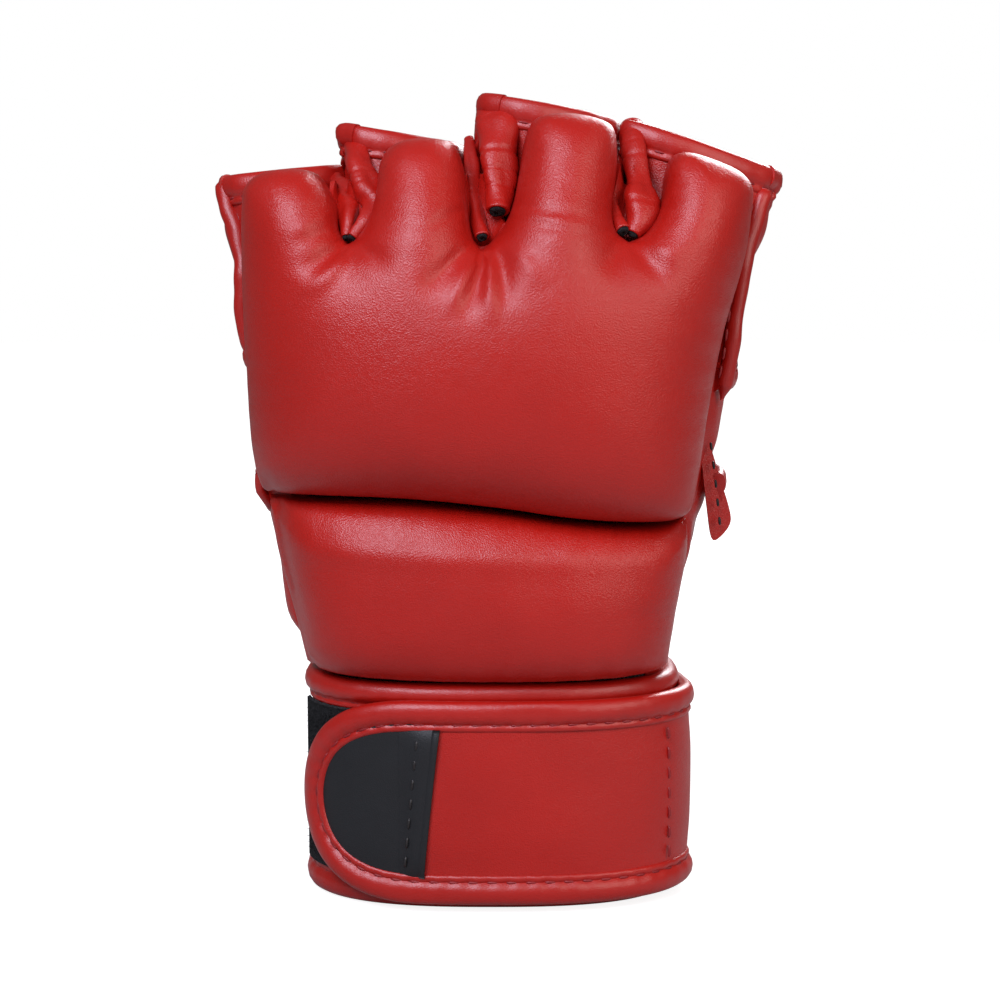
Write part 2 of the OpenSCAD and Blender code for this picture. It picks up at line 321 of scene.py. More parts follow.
def tape_rings(edge, outward, face, closed, thick, puff):
    """Rings of points round a folded, stuffed tape, and the frame that they follow."""
    edge, outward, face = resample([edge, outward, face], STITCH_PITCH / 5, closed)
    along = np.gradient(edge, axis=0) if not closed else np.roll(edge, -1, 0) - np.roll(edge, 1, 0)
    along = unit(along)
    outward = unit(outward - along * np.sum(outward * along, -1, keepdims=True))
    side = np.cross(along, outward)
    face = side * np.sign(np.sum(side * face, -1, keepdims=True))
    s = lengths(edge, closed)
    count = max(1, round(s[-1] / STITCH_PITCH))
    phase = s[: len(edge)] / s[-1] * count * 2 * math.pi
    profile = np.array(TAPE_PROFILE)
    profile = np.concatenate([profile, (profile * [1, -1])[1:][::-1]])
    rows = []
    rough = wander(edge, 14, 5)
    for x, h in profile:
        near = math.exp(-((x - GROOVE_AT) / 1.1) ** 2)
        roll = 1 if 0 < x < 4 else 0
        pull = (DIMPLE * near + BEAD * roll) * np.cos(phase)
        lift = h * puff * thick - np.sign(h) * (pull - roll * UNEVEN * rough)
        rows.append(edge - outward * x + face * lift[:, None])
    return np.stack(rows, 1), edge, outward, face, count


def tape(name, edge, outward, face, material, closed=False, thick=1.0, puff=1.0, stitch_faces=(1,),
         thread=None):
    """Folded tape along an edge, stuffed and stitched. Returns the tape and its stitches."""
    ring, edge, outward, face, count = tape_rings(edge, outward, face, closed, thick, puff)
    out = [tape_piece(name, ring, material, closed)]
    for sign in stitch_faces:
        line = edge - outward * GROOVE_AT + face * (0.80 * puff * thick * sign)
        tag = "_stitches" if sign > 0 else "_inner_stitches"
        out.append(stitches(name + tag, line, face * sign, thread or material, closed, count))
    return out


def tape_piece(name, ring, material, closed=False):
    """The tape itself, through its rings of points."""
    n, m = ring.shape[:2]
    ends = [] if closed else [face[::-1] for face in end_faces(n, m)]
    obj = make_mesh(name, ring.reshape(-1, 3), [*tube_faces(n, m, closed), *ends], material)
    if not closed:
        crease_edges(obj, 70)
    return obj


def stitches(name, line, face, material, closed=False, count=None, length=STITCH_L, radius=STITCH_R):
    """A row of stitches along a line of points, each a small bent capsule lying on the surface."""
    s = lengths(line, closed)
    points = np.concatenate([line, line[:1]]) if closed else line
    up = np.concatenate([face, face[:1]]) if closed else face
    count = count or max(1, round(s[-1] / STITCH_PITCH))
    pitch = s[-1] / count
    verts, faces = [], []
    sides = 6
    for k in range(count):
        middle = (k + 0.5) * pitch
        shares = np.array([-0.5, -0.44, -0.25, 0.25, 0.44, 0.5])
        sizes = np.array([0.25, 0.75, 1.0, 1.0, 0.75, 0.25])
        sink = np.array([-0.8, -0.35, 0.15, 0.15, -0.35, -0.8]) * radius
        at = middle + shares * length
        centre = np.stack([np.interp(at, s, points[:, c]) for c in range(3)], -1)
        normal = unit(np.stack([np.interp(at, s, up[:, c]) for c in range(3)], -1))
        along = unit(np.gradient(centre, axis=0))
        across = unit(np.cross(along, normal))
        centre = centre + normal * sink[:, None]
        base = len(verts)
        for c, nrm, acr, r in zip(centre, normal, across, sizes * radius):
            for q in range(sides):
                turn = 2 * math.pi * q / sides
                verts.append(c + nrm * math.cos(turn) * r + acr * math.sin(turn) * r * 1.15)
        faces += [*(base + tube_faces(len(centre), sides, False)), *end_faces(len(centre), sides, base)]
    return make_mesh(name, verts, faces, material)


# ------------------------------------------------------------------ padded pieces

def inside(points, outline):
    """Which points lie inside a closed outline."""
    x, y = points[:, 0:1], points[:, 1:2]
    x0, y0 = outline[:, 0], outline[:, 1]
    x1, y1 = np.roll(x0, -1), np.roll(y0, -1)
    crosses = (y0 > y) != (y1 > y)
    with np.errstate(divide="ignore", invalid="ignore"):
        at = (x1 - x0) * (y - y0) / (y1 - y0) + x0
    return (crosses & (x < at)).sum(1) % 2 == 1


def edge_distance(points, outline):
    """Exact distance to a closed outline, and the direction away from it, for points inside."""
    a, b = outline, np.roll(outline, -1, 0)
    ab = b - a
    t = np.einsum("pkc,kc->pk", points[:, None] - a, ab) / np.maximum((ab**2).sum(1), 1e-12)
    nearest = a + np.clip(t, 0, 1)[..., None] * ab
    gap = points[:, None] - nearest
    d = np.linalg.norm(gap, axis=-1)
    k = d.argmin(1)
    row = np.arange(len(points))
    return d[row, k], unit(gap[row, k])


def soft_distance(points, outline):
    """Distance to an outline with its ridges rounded off, so that a pad made from it has a smooth crown."""
    line = resample([outline], 0.5, True)[0]
    d = np.linalg.norm(points[:, None] - line, axis=-1)
    m = 4
    spread = 0.5 * np.sum(np.maximum(d, 0.5) ** -m, axis=1)
    flat = math.pi / 2  # the integral for a straight edge, with m = 4
    return (spread / flat) ** (-1 / (m - 1))


def gap_to(points, line):
    """Distance from each point to the nearest point of a line."""
    return np.linalg.norm(points[:, None] - line, axis=-1).min(1)


def flat_mesh(outline, spacing, cuts=()):
    """Triangles that fill an outline, finer at its edge. cuts are lines the triangles follow."""
    border = resample([outline], spacing * 0.8, True)[0]
    points = [border]
    for inset in (0.3, 0.8, 1.5, 2.4, 3.4):
        a, b = np.roll(border, 1, 0), np.roll(border, -1, 0)
        along = unit(b - a)
        ring = border + np.stack([-along[:, 1], along[:, 0]], -1) * inset
        d, _ = edge_distance(ring, border)
        points.append(ring[inside(ring, border) & (d > inset * 0.93)])
    low, high = border.min(0), border.max(0)
    xs = np.arange(low[0], high[0], spacing)
    ys = np.arange(low[1], high[1], spacing * 0.866)
    gx, gy = np.meshgrid(xs, ys)
    gx = gx + (np.arange(len(ys)) % 2)[:, None] * spacing / 2
    grid = np.stack([gx.ravel(), gy.ravel()], -1)
    grid = grid[inside(grid, border)]
    d, _ = edge_distance(grid, border)
    grid = grid[d > 4.0]
    cut_points = [resample([np.array(c, float)], spacing * 0.7)[0] for c in cuts]
    for line in cut_points:
        grid = grid[gap_to(grid, line) > spacing * 0.5]
        points[1:] = [p[gap_to(p, line) > spacing * 0.35] for p in points[1:]]
    points.append(grid)
    edges, start = [], sum(len(p) for p in points)
    for line in cut_points:
        edges += [(start + k, start + k + 1) for k in range(len(line) - 1)]
        points.append(line)
        start += len(line)
    flat = np.concatenate(points)
    n = len(border)
    verts, _, faces, _, _, _ = geometry.delaunay_2d_cdt(
        [Vector(p) for p in flat], edges, [list(range(n))], 1, 1e-5)
    return np.array([tuple(v) for v in verts]), np.array([f for f in faces if len(f) == 3])


def vertex_normals(verts, tris):
    n = np.cross(verts[tris[:, 1]] - verts[tris[:, 0]], verts[tris[:, 2]] - verts[tris[:, 0]])
    total = np.zeros_like(verts)
    for k in range(3):
        np.add.at(total, tris[:, k], n)
    return unit(total)


def facing(points, tris, side):
    """The triangles and normals of a skin, turned to face the palm (side 1) or the back (side -1)."""
    normals = vertex_normals(points, tris)
    return (tris, normals) if np.mean(normals[:, 1]) * side > 0 else (tris[:, ::-1], -normals)


CLOTH_SCALE = 10.0
CLOTH_FRAMES = 20


def settle(points, tris, hold, ease, pressure=20.0, cap=2.2):
    """Runs a padded skin as cloth, blown up over its foam, and returns where its points come to rest.

    hold is how firmly each point keeps its place (1 is sewn down), and ease how much spare leather it has.
    """
    mesh = bpy.data.meshes.new("cloth")
    mesh.from_pydata((points * MM * CLOTH_SCALE).tolist(), [], tris.tolist())
    obj = link("cloth", mesh)
    for name, weights in (("hold", hold), ("ease", ease)):
        group = obj.vertex_groups.new(name=name)
        for k, w in enumerate(np.clip(weights, 0, 1)):
            group.add([k], float(w), "REPLACE")
    modifier = obj.modifiers.new("cloth", "CLOTH")
    cloth = modifier.settings
    cloth.quality, cloth.mass, cloth.air_damping = 5, 0.05, 1.0
    cloth.tension_stiffness = cloth.compression_stiffness = 12.0
    cloth.shear_stiffness, cloth.bending_stiffness = 4.0, 0.35
    cloth.use_pressure, cloth.uniform_pressure_force = True, pressure
    cloth.vertex_group_mass, cloth.pin_stiffness = "hold", 1.0
    cloth.vertex_group_shrink, cloth.shrink_min, cloth.shrink_max = "ease", 0.0, -0.3
    cloth.effector_weights.gravity = 0
    modifier.collision_settings.use_collision = False
    modifier.point_cache.frame_start, modifier.point_cache.frame_end = 1, CLOTH_FRAMES
    for f in range(1, CLOTH_FRAMES + 1):
        bpy.context.scene.frame_set(f)
    done = obj.evaluated_get(bpy.context.evaluated_depsgraph_get()).to_mesh()
    out = np.empty(len(points) * 3)
    done.vertices.foreach_get("co", out)
    bpy.data.objects.remove(obj)
    bpy.data.meshes.remove(mesh)
    bpy.context.scene.frame_set(1)
    moved = out.reshape(-1, 3) / MM / CLOTH_SCALE - points
    far = np.linalg.norm(moved, axis=1, keepdims=True)
    return points + moved * np.minimum(1, cap / np.maximum(far, 1e-6))


def shell_piece(name, top, under, tris, normals, material):
    """A closed piece from a top and an underside that share triangles; the top keeps the given normals."""
    used = np.unique(tris)
    remap = np.full(len(top), -1)
    remap[used] = np.arange(len(used))
    t = remap[tris]
    n = len(used)
    directed = {}
    for a, b, c in t:
        for e in ((a, b), (b, c), (c, a)):
            directed[e] = True
    rim = [e for e in directed if (e[1], e[0]) not in directed]
    ids = sorted({v for e in rim for v in e})
    wall = {v: 2 * n + 2 * k for k, v in enumerate(ids)}
    wall_points = [p for v in ids for p in (top[used[v]], under[used[v]])]
    verts = np.concatenate([top[used], under[used], np.array(wall_points).reshape(-1, 3)])
    faces = [tuple(f) for f in t] + [tuple(f[::-1] + n) for f in t]
    faces += [(wall[b], wall[a], wall[a] + 1, wall[b] + 1) for a, b in rim]
    obj = make_mesh(name, verts, faces, material)
    below = vertex_normals(under, tris[:, ::-1])[used]
    sides = np.zeros((len(wall_points), 3))
    custom = np.concatenate([normals[used], below, sides])
    obj.data.normals_split_custom_set_from_vertices(custom.tolist())
    return obj


# ------------------------------------------------------------------ materials

def node_of(tree, kind, **settings):
    """A shader node with its settings; names with a capital are inputs."""
    n = tree.nodes.new(kind)
    for key, value in settings.items():
        name = key.replace("_", " ")
        if name in n.inputs:
            n.inputs[name].default_value = value
        else:
            setattr(n, key, value)
    return n


def feed(tree, node, **sources):
    """Links outputs to the node's inputs of those names."""
    for key, source in sources.items():
        tree.links.new(source, node.inputs[key.replace("_", " ")])


def new_material(name, **inputs):
    m = bpy.data.materials.new(name)
    m.use_nodes = True
    tree = m.node_tree
    bsdf = tree.nodes["Principled BSDF"]
    for key, value in inputs.items():
        bsdf.inputs[key.replace("_", " ")].default_value = value
    coords = node_of(tree, "ShaderNodeTexCoord").outputs["Object"]
    return m, tree, bsdf, coords


def noise(tree, coords, scale, detail=3.0, rough=0.55):
    n = node_of(tree, "ShaderNodeTexNoise", Scale=scale, Detail=detail, Roughness=rough)
    feed(tree, n, Vector=coords)
    return n.outputs["Fac"]


def ramp(tree, value, low, high, from_min=0.0, from_max=1.0):
    n = node_of(tree, "ShaderNodeMapRange", From_Min=from_min, From_Max=from_max, To_Min=low, To_Max=high)
    feed(tree, n, Value=value)
    return n.outputs["Result"]


def color_mix(tree, fac, a, b):
    n = node_of(tree, "ShaderNodeMix", data_type="RGBA")
    tree.links.new(fac, n.inputs[0])
    n.inputs[6].default_value = (*a, 1)
    n.inputs[7].default_value = (*b, 1)
    return n.outputs[2]


def bump(tree, height, strength, distance, normal=None):
    n = node_of(tree, "ShaderNodeBump", Strength=strength, Distance=distance)
    feed(tree, n, Height=height, **({"Normal": normal} if normal else {}))
    return n.outputs["Normal"]


GRAIN = 3000.0  # pebbles per metre


def leather(name, color, rough=0.37, grain_strength=0.26, coat=0.10, worn=1.05):
    """Grained synthetic leather: pebbles, soft creases, and colour and gloss that vary over it."""
    m, tree, bsdf, coords = new_material(name, Coat_Weight=coat, Coat_Roughness=0.35, Specular_IOR_Level=0.45)
    cells = node_of(tree, "ShaderNodeTexVoronoi", feature="SMOOTH_F1", Scale=GRAIN, Smoothness=0.6)
    bent = node_of(tree, "ShaderNodeMix", data_type="VECTOR")
    wobble = node_of(tree, "ShaderNodeTexNoise", Scale=400.0, Detail=1.0)
    feed(tree, wobble, Vector=coords)
    bent.inputs[0].default_value = 0.0012
    tree.links.new(coords, bent.inputs[4])
    tree.links.new(wobble.outputs["Color"], bent.inputs[5])
    tree.links.new(bent.outputs[1], cells.inputs["Vector"])
    n = bump(tree, cells.outputs["Distance"], grain_strength, 0.0004)
    n = bump(tree, noise(tree, coords, 420.0, 4.0), 0.06, 0.0004, n)
    n = bump(tree, noise(tree, coords, 55.0, 2.0), 0.12, 0.0022, n)
    light = tuple(min(1.0, c * worn) for c in color)
    dark = tuple(c * 0.94 for c in color)
    shade = color_mix(tree, ramp(tree, noise(tree, coords, 38.0, 4.0), 0, 1, 0.3, 0.7), dark, light)
    gloss = ramp(tree, noise(tree, coords, 90.0, 3.0), rough - 0.06, rough + 0.08)
    feed(tree, bsdf, Normal=n, Base_Color=shade, Roughness=gloss)
    return m


def knit(name, color):
    """Black ribbed knit: fine ribs that run up the hand."""
    m, tree, bsdf, coords = new_material(name, Roughness=0.85, Sheen_Weight=0.12, Sheen_Roughness=0.5)
    ribs = node_of(tree, "ShaderNodeTexWave", wave_type="BANDS", bands_direction="X", Scale=330.0,
                   Distortion=0.6, Detail=2.0)
    feed(tree, ribs, Vector=coords)
    loops = node_of(tree, "ShaderNodeTexWave", wave_type="BANDS", bands_direction="Z", Scale=420.0,
                    Distortion=2.0)
    feed(tree, loops, Vector=coords)
    n = bump(tree, ribs.outputs["Fac"], 0.8, 0.0005)
    n = bump(tree, loops.outputs["Fac"], 0.35, 0.0004, n)
    shade = color_mix(tree, ribs.outputs["Fac"], color, tuple(c * 2.2 + 0.003 for c in color))
    feed(tree, bsdf, Normal=n, Base_Color=shade)
    return m


def pile(name, color, scale):
    """The pile of hook or loop tape."""
    m, tree, bsdf, coords = new_material(name, Roughness=0.95, Sheen_Weight=0.06, Specular_IOR_Level=0.15)
    tufts = noise(tree, coords, scale, 5.0, 0.75)
    n = bump(tree, tufts, 1.0, 0.0016)
    shade = color_mix(tree, ramp(tree, tufts, 0, 1, 0.35, 0.75), color, tuple(c * 4 + 0.002 for c in color))
    feed(tree, bsdf, Normal=n, Base_Color=shade)
    return m


def thread(name, color):
    """Waxed sewing thread with a slight twist."""
    m, tree, bsdf, coords = new_material(name, Roughness=0.5)
    twist = bump(tree, noise(tree, coords, 2500.0, 1.0), 0.4, 0.0002)
    shade = color_mix(tree, noise(tree, coords, 300.0), color, tuple(c * 1.5 for c in color))
    feed(tree, bsdf, Normal=twist, Base_Color=shade)
    return m


LEATHER = leather("red_leather", RED)
TAPE = leather("red_tape", tuple(c * 0.96 for c in RED), rough=0.36, grain_strength=0.15, coat=0.2)
TAB = leather("black_tab", (0.0060, 0.0066, 0.0078), rough=0.52, grain_strength=0.12, worn=1.5, coat=0.0)
KNIT = knit("black_knit", BLACK)
LOOP = pile("loop_pile", (0.0035, 0.0035, 0.004), 1500.0)
HOOK = pile("hook_pile", (0.014, 0.014, 0.015), 2600.0)
FOAM = pile("grey_foam", (0.05, 0.05, 0.05), 900.0)
RED_THREAD = thread("red_thread", DARK_RED)
BLACK_THREAD = thread("black_thread", (0.010, 0.008, 0.008))


# ------------------------------------------------------------------ putting pieces on bodies


class Place:
    """Where pieces go: on one body, or, for a joint between two bodies, left unparented with their transforms
    baked in.
    """

    def __init__(self, *bodies, start=None, end=None):
        self.bodies, self.start, self.end = bodies, start, end

    def put(self, *objs, stands_for=()):
        for o in objs:
            if self.start is None:
                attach(o, self.bodies[0])
            else:
                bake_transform(o)
        if stands_for:
            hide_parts(*stands_for)
        return objs


FINGER_NAMES = ("pinky", "ring", "middle", "index")
FOLD_LOW, FOLD_HIGH = WEB_Z + 1, WEB_Z + 14
HAND = Place("hand")
STRAP_HINGE = [j for j in frame["joints"] if j["name"] == "strap_open"][0]["pos_m"]
STRAP = Place("hand", "strap", start=(STRAP_HINGE[0] / MM, STRAP_HINGE[1] / MM + 3, 0),
              end=(STRAP_HINGE[0] / MM, STRAP_HINGE[1] / MM - 9, 0))
TAB_HINGE = [j for j in frame["joints"] if j["name"] == "strap_tab_lift"][0]["pos_m"]
TAB_PLACE = Place("strap", "strap_tab", start=(TAB_HINGE[0] / MM + 1, TAB_HINGE[1] / MM, 0),
                  end=(TAB_HINGE[0] / MM - 6, TAB_HINGE[1] / MM, 0))
FLAP_JOINT = [j for j in frame["joints"] if j["name"] == "flap_lift"][0]
FLAP_UP = np.array([-0.5044, 0, 0.8576])
FLAP_MID = np.array(FLAP_JOINT["pos_m"]) / MM
FLAP = Place("hand", "flap", start=FLAP_MID - FLAP_UP * 1, end=FLAP_MID + FLAP_UP * 9)
FINGER = {f: Place("hand", f, start=(0, 0, FOLD_LOW), end=(0, 0, FOLD_HIGH)) for f in FINGER_NAMES}


# ------------------------------------------------------------------ cuff

CUFF_WALL = 2.0


def edge_of(grid, normals):
    """Edge points, outward directions and face normals at the last column of a grid."""
    return grid[:, -1], unit(grid[:, -1] - grid[:, -2]), normals[:, -1]


def taped_edge(name, grid, normals, wall, closed=False, thick=1.0):
    """Folded tape over the last column of a grid whose leather is wall thick."""
    edge, out, face = edge_of(grid, normals)
    return tape(name, edge - face * wall / 2, out, face, TAPE, closed, thick, thread=RED_THREAD)


def cuff():
    """The leather sleeve round the wrist, its two taped ends and its lining."""
    a = even_angles(-180, 180, 181)[:-1][:, None]
    z = np.linspace(1.2, CUFF_H - 1.2, 24)[None, :]
    outer = on_cuff(a, z, 0.0)
    normals = grid_normals(outer, True)
    soft = wander(outer, 26, 3) * np.sin(np.pi * z / CUFF_H)
    outer = outer + normals * (0.5 * soft[..., None] - 0.1)
    band, normals = leather_sheet("cuff_leather", outer, LEATHER, CUFF_WALL, True)
    HAND.put(band, stands_for=("cuff_band",))
    top = taped_edge("cuff_top_tape", outer, normals, CUFF_WALL, closed=True, thick=1.4)
    HAND.put(*top, stands_for=("cuff_top_binding",))
    foot = taped_edge("cuff_foot_tape", outer[:, ::-1], normals[:, ::-1], CUFF_WALL, closed=True, thick=1.4)
    HAND.put(*foot, stands_for=("cuff_foot_binding",))
    z = np.linspace(6, CUFF_H + 11, 20)[None, :]
    wide = step(z, CUFF_H - 6, CUFF_H + 10)
    inner = mix(on_cuff(a, z, -3.6), on_hand(a, np.maximum(z, CUFF_H), -2.6), wide[..., None])
    HAND.put(leather_sheet("cuff_knit", inner, KNIT, 0.9, True)[0], stands_for=("cuff_lining",))


def loop_tape():
    """The loop tape on the cuff, seen beside the strap's tip."""
    a = even_angles(-6, -80, 90)[:, None]
    z = np.linspace(7.5, CUFF_H - 7.5, 60)[None, :]
    grid = on_cuff(a, z, 1.0)
    rng = np.random.default_rng(4)
    rough = rng.normal(size=grid.shape[:2]) * 0.10 + 0.25 * wander(grid, 5, 8)
    rough[[0, -1]], rough[:, [0, -1]] = -0.3, -0.3
    grid = grid + grid_normals(grid) * rough[..., None]
    HAND.put(leather_sheet("loop_pile_patch", grid, LOOP, 0.8)[0], stands_for=("loop_patch",))
    HAND.put(fuzz("loop_fuzz", -78, -8, 9.5, CUFF_H - 9.5, 2600), stands_for=())


def fuzz(name, a0, a1, z0, z1, count):
    """Short bent fibres that stand up from the loop tape."""
    rng = np.random.default_rng(11)
    verts, faces = [], []
    for _ in range(count):
        a, z = rng.uniform(a0, a1), rng.uniform(z0, z1)
        root = on_cuff(np.array(a), np.array(z), 1.0)
        up = unit(on_cuff(np.array(a), np.array(z), 2.0) - root)
        lean = unit(rng.normal(size=3)) * 0.5
        width = unit(np.cross(up, lean)) * 0.06
        middle = root + up * 0.35 + lean * 0.35
        tip = root + up * rng.uniform(0.3, 0.7) + lean * 1.3
        depth = unit(np.cross(width, up)) * 0.05
        base = len(verts)
        for p, w in ((root, 1.0), (middle, 1.0), (tip, 0.5)):
            verts += [p - width * w, p + width * w, p + depth * w]
        for k in (0, 3):
            for i in range(3):
                i2 = (i + 1) % 3
                faces.append((base + k + i, base + k + i2, base + k + 3 + i2, base + k + 3 + i))
        faces += [(base + 2, base + 1, base), (base + 6, base + 7, base + 8)]
    return make_mesh(name, verts, faces, LOOP)


# ------------------------------------------------------------------ strap

STRAP_OFF = 4.6
STRAP_WALL = 1.9
STRAP_Z = (3.3, CUFF_H - 4.4)
SEAM_A, TIP_A = -15.0, -61.5
TAB_SLANT = 4.0
STRAP_SEAM_A = 55.0


def strap_off(a):
    """The strap leaves the cuff at its sewn end and stands clear of it further on."""
    return mix(1.6, STRAP_OFF, step(-a, -100, -74))


def strap():
    """The strap from its sewn end to the tab."""
    a = even_angles(98, SEAM_A + 0.4, 120)[:, None]
    z = np.linspace(*STRAP_Z, 26)[None, :]
    outer = on_cuff(a, z, strap_off(a))
    across = np.sin(np.pi * (z - STRAP_Z[0]) / (STRAP_Z[1] - STRAP_Z[0]))
    swell = 0.45 * step(across, 0.35, 0.9) + 0.35 * wander(outer, 24, 7) * across
    outer = swelled(outer, swell)
    STRAP.put(leather_sheet("strap_leather", outer, LEATHER, STRAP_WALL)[0], stands_for=("strap",))
    rows = np.linspace(STRAP_Z[0] + 6.5, STRAP_Z[1] - 6.5, 60)
    line = on_cuff(STRAP_SEAM_A - 1.5 * (rows - rows[0]) / (rows[-1] - rows[0]), rows, STRAP_OFF + 0.75)
    STRAP.put(stitches("strap_end_stitches", line, line * [1, 1, 0], RED_THREAD))


def strap_edge():
    """The strap's whole edge: along its foot, round the tab's tip and back along its top, with its frame."""
    half, middle = (STRAP_Z[1] - STRAP_Z[0]) / 2, sum(STRAP_Z) / 2
    straight = even_angles(98, SEAM_A, 120)[:-1]
    turn = np.radians(np.linspace(-90, 90, 121))
    a = np.concatenate([straight, mix(SEAM_A, TIP_A, np.cos(turn)), straight[::-1]])
    z = np.concatenate([0 * straight - 1, np.sin(turn), 0 * straight + 1]) * half + middle
    edge = on_cuff(a, z, strap_off(a) + 0.1)
    face = unit(np.cross(on_cuff(a + 0.2, z) - on_cuff(a - 0.2, z), [0.0, 0.0, 1.0]))
    face = face * np.sign(np.sum(face * edge * [1, 1, 0], -1, keepdims=True))
    outward = np.cross(unit(np.gradient(edge, axis=0)), face)
    outward = outward * -np.sign(outward[0, 2])
    return edge - face * STRAP_WALL / 2, outward, face


def strap_tapes():
    """The tape round the strap and tab, in one run cut where the strap is stiff on either side of the tab."""
    ring, edge, outward, face, _ = tape_rings(*strap_edge(), False, 1.0, 1.12)
    n = len(edge)
    first = int(np.argmax(edge[:, 0] < 12.0))
    last = n - first
    spans = (("strap_foot_tape", 0, first, STRAP, ("strap_foot_binding",)),
             ("tab_tape", first, last, TAB_PLACE, ("strap_tab_binding",)),
             ("strap_top_tape", last, n - 1, STRAP, ("strap_top_binding",)))
    put_spans(spans, ring, edge - outward * GROOVE_AT + face * 0.92, face)


def put_spans(spans, ring, line, face):
    """One run of tape with its stitches, cut into spans: name, first and last ring, place, CAD nodes."""
    for name, i, j, place, nodes in spans:
        part = slice(i, j + 1)
        seam = stitches(name + "_stitches", line[part], face[part], RED_THREAD)
        place.put(tape_piece(name, ring[part], TAPE), seam, stands_for=nodes)


def strap_tab():
    """The black rounded tab, its fold and root, and the seam that holds it."""
    half, middle = (STRAP_Z[1] - STRAP_Z[0]) / 2, sum(STRAP_Z) / 2
    turn = np.radians(np.linspace(-89.3, 89.3, 90))[:, None]
    t = np.linspace(0, 1, 22)[None, :]
    a = mix(SEAM_A, TIP_A, t * np.cos(turn))
    z = middle + (half - 0.7) * np.sin(turn) * mix(0.5, 1, t)
    outer = on_cuff(a, z, STRAP_OFF + 0.1)
    calm = np.sin(np.pi * np.clip(t / 0.82, 0, 1))
    outer = swelled(outer, (0.25 * wander(outer, 18, 21) + 0.3 * np.cos(turn)) * calm)
    TAB_PLACE.put(leather_sheet("tab_leather", outer, TAB, 1.6)[0], stands_for=("strap_tab",))
    rows = np.linspace(STRAP_Z[0] + 5.7, STRAP_Z[1] - 5.7, 50)
    lean = (rows - rows[0]) / (rows[-1] - rows[0])
    tuck = 1.0 - 0.75 * (1 - np.sin(np.pi * lean)) ** 6
    line = on_cuff(SEAM_A + 1.0 + TAB_SLANT * lean, rows, STRAP_OFF + 1.2 * tuck)
    face = unit(line * [1, 1, 0])
    STRAP.put(fold_roll("tab_fold", line, face, TAB, 2.2, 1.1))
    STRAP.put(leather_strip("tab_root", SEAM_A + 1.5, rows, lean, tuck))
    line = on_cuff(SEAM_A - 3.4 + TAB_SLANT * lean, rows, STRAP_OFF + 1.05 * tuck)
    STRAP.put(stitches("tab_stitches", line[2:-2], face[2:-2], BLACK_THREAD, length=2.6))


def leather_strip(name, a_end, rows, lean, tuck):
    """The tab's root, which lies over the strap's end and goes in under its tapes."""
    t = np.linspace(0, 1, 10)[None, :]
    a = mix((a_end + TAB_SLANT * lean)[:, None], SEAM_A - 5.0 + 0 * lean[:, None], t)
    lift = mix(1.5, 0.35, step(t, 0.2, 1.0)) * tuck[:, None]
    return leather_sheet(name, on_cuff(a, rows[:, None] + 0 * t, STRAP_OFF + lift), TAB, 1.2)[0]


def fold_roll(name, line, face, material, wide, high):
    """A rolled edge along a line: half a rounded bar that lies on the surface."""
    along = unit(np.gradient(line, axis=0))
    across = np.cross(along, face)
    ring = [line + across * math.cos(q) * wide / 2 + face * math.sin(q) * high / 2 for q in circle(14)]
    return closed_tube(name, np.stack(ring, 1), material)


def hook_tapes():
    """The hook tape under the strap and under its tab."""
    a = even_angles(14, SEAM_A + 2, 30)[:, None]
    z = np.linspace(STRAP_Z[0] + 7, STRAP_Z[1] - 7, 30)[None, :]
    STRAP.put(leather_sheet("hook_patch", on_cuff(a, z, STRAP_OFF - STRAP_WALL - 0.1), HOOK, 0.7)[0],
              stands_for=("strap_hook_patch",))
    a = even_angles(SEAM_A - 1, TIP_A + 17, 30)[:, None]
    t = np.linspace(-1, 1, 30)[None, :]
    high = np.linspace(15, 10, 30)[:, None]
    grid = on_cuff(a + 0 * t, sum(STRAP_Z) / 2 + t * high, STRAP_OFF - 1.7)
    TAB_PLACE.put(leather_sheet("tab_hook_patch", grid, HOOK, 0.7)[0], stands_for=("strap_tab_hook_patch",))


# ------------------------------------------------------------------ back of the hand

WEBS = np.array([(-33.2, 158.4), (-2.2, 157.0), (31.9, 158.8)])
PAD_T = -corners("knuckle_cover")[0][1] - HAND_D / 2 - 1.5
BACK_T = -corners("back_cover")[0][1] - 21.5
CREASE_LEFT = [
    (-55.5, 98.8), (-42, 99.2), (-20, 98.9), (1.5, 96.8), (16.5, 94.6), (30, 93.3), (42, 93.0), (47.6, 94.6),
]


def knuckle_outline():
    """The edge of the knuckle pad with its four finger pads, in x and z."""
    w1, w2, w3 = (tuple(w) for w in WEBS)
    parts = [
        curve(CREASE_LEFT, 40),
        curve([CREASE_LEFT[-1], (49.4, 103), (51.6, 119), (55.2, 138), (60.2, 155), (61.8, 166),
               (61.8, 171.5), (59, 175), (53.7, 177.6), (46.5, 179.8), (42.8, 179.0), (41.0, 175),
               (40.2, 170), (38.6, 165),
               (35.6, 160.8), w3], 90),
        curve([w3, (28.9, 161.5), (28.2, 166.5), (29.2, 173.5), (29.6, 180.5), (28.2, 186), (22, 188.4),
               (14.5, 188.8), (9.6, 187), (7.6, 182), (6.5, 175.5), (5.3, 169), (3.6, 164), (0.6, 159.6),
               w2], 80),
        curve([w2, (-4.4, 160.2), (-5.6, 167.5), (-6.4, 175.5), (-8.8, 181.4), (-13, 183), (-19, 182.9),
               (-23.8, 181), (-26.2, 177), (-27.0, 170.5), (-28.4, 164.5), (-31.0, 160.2), w1], 80),
        curve([w1, (-35.2, 161.4), (-36.2, 166.8), (-38.6, 171.8), (-42, 175.2), (-47.7, 176), (-54, 175),
               (-57.6, 172.3), (-59, 167), (-59.4, 142), (-58.8, 118), (-57.6, 106), CREASE_LEFT[0]], 90),
    ]
    return np.concatenate([p[:-1] for p in parts])


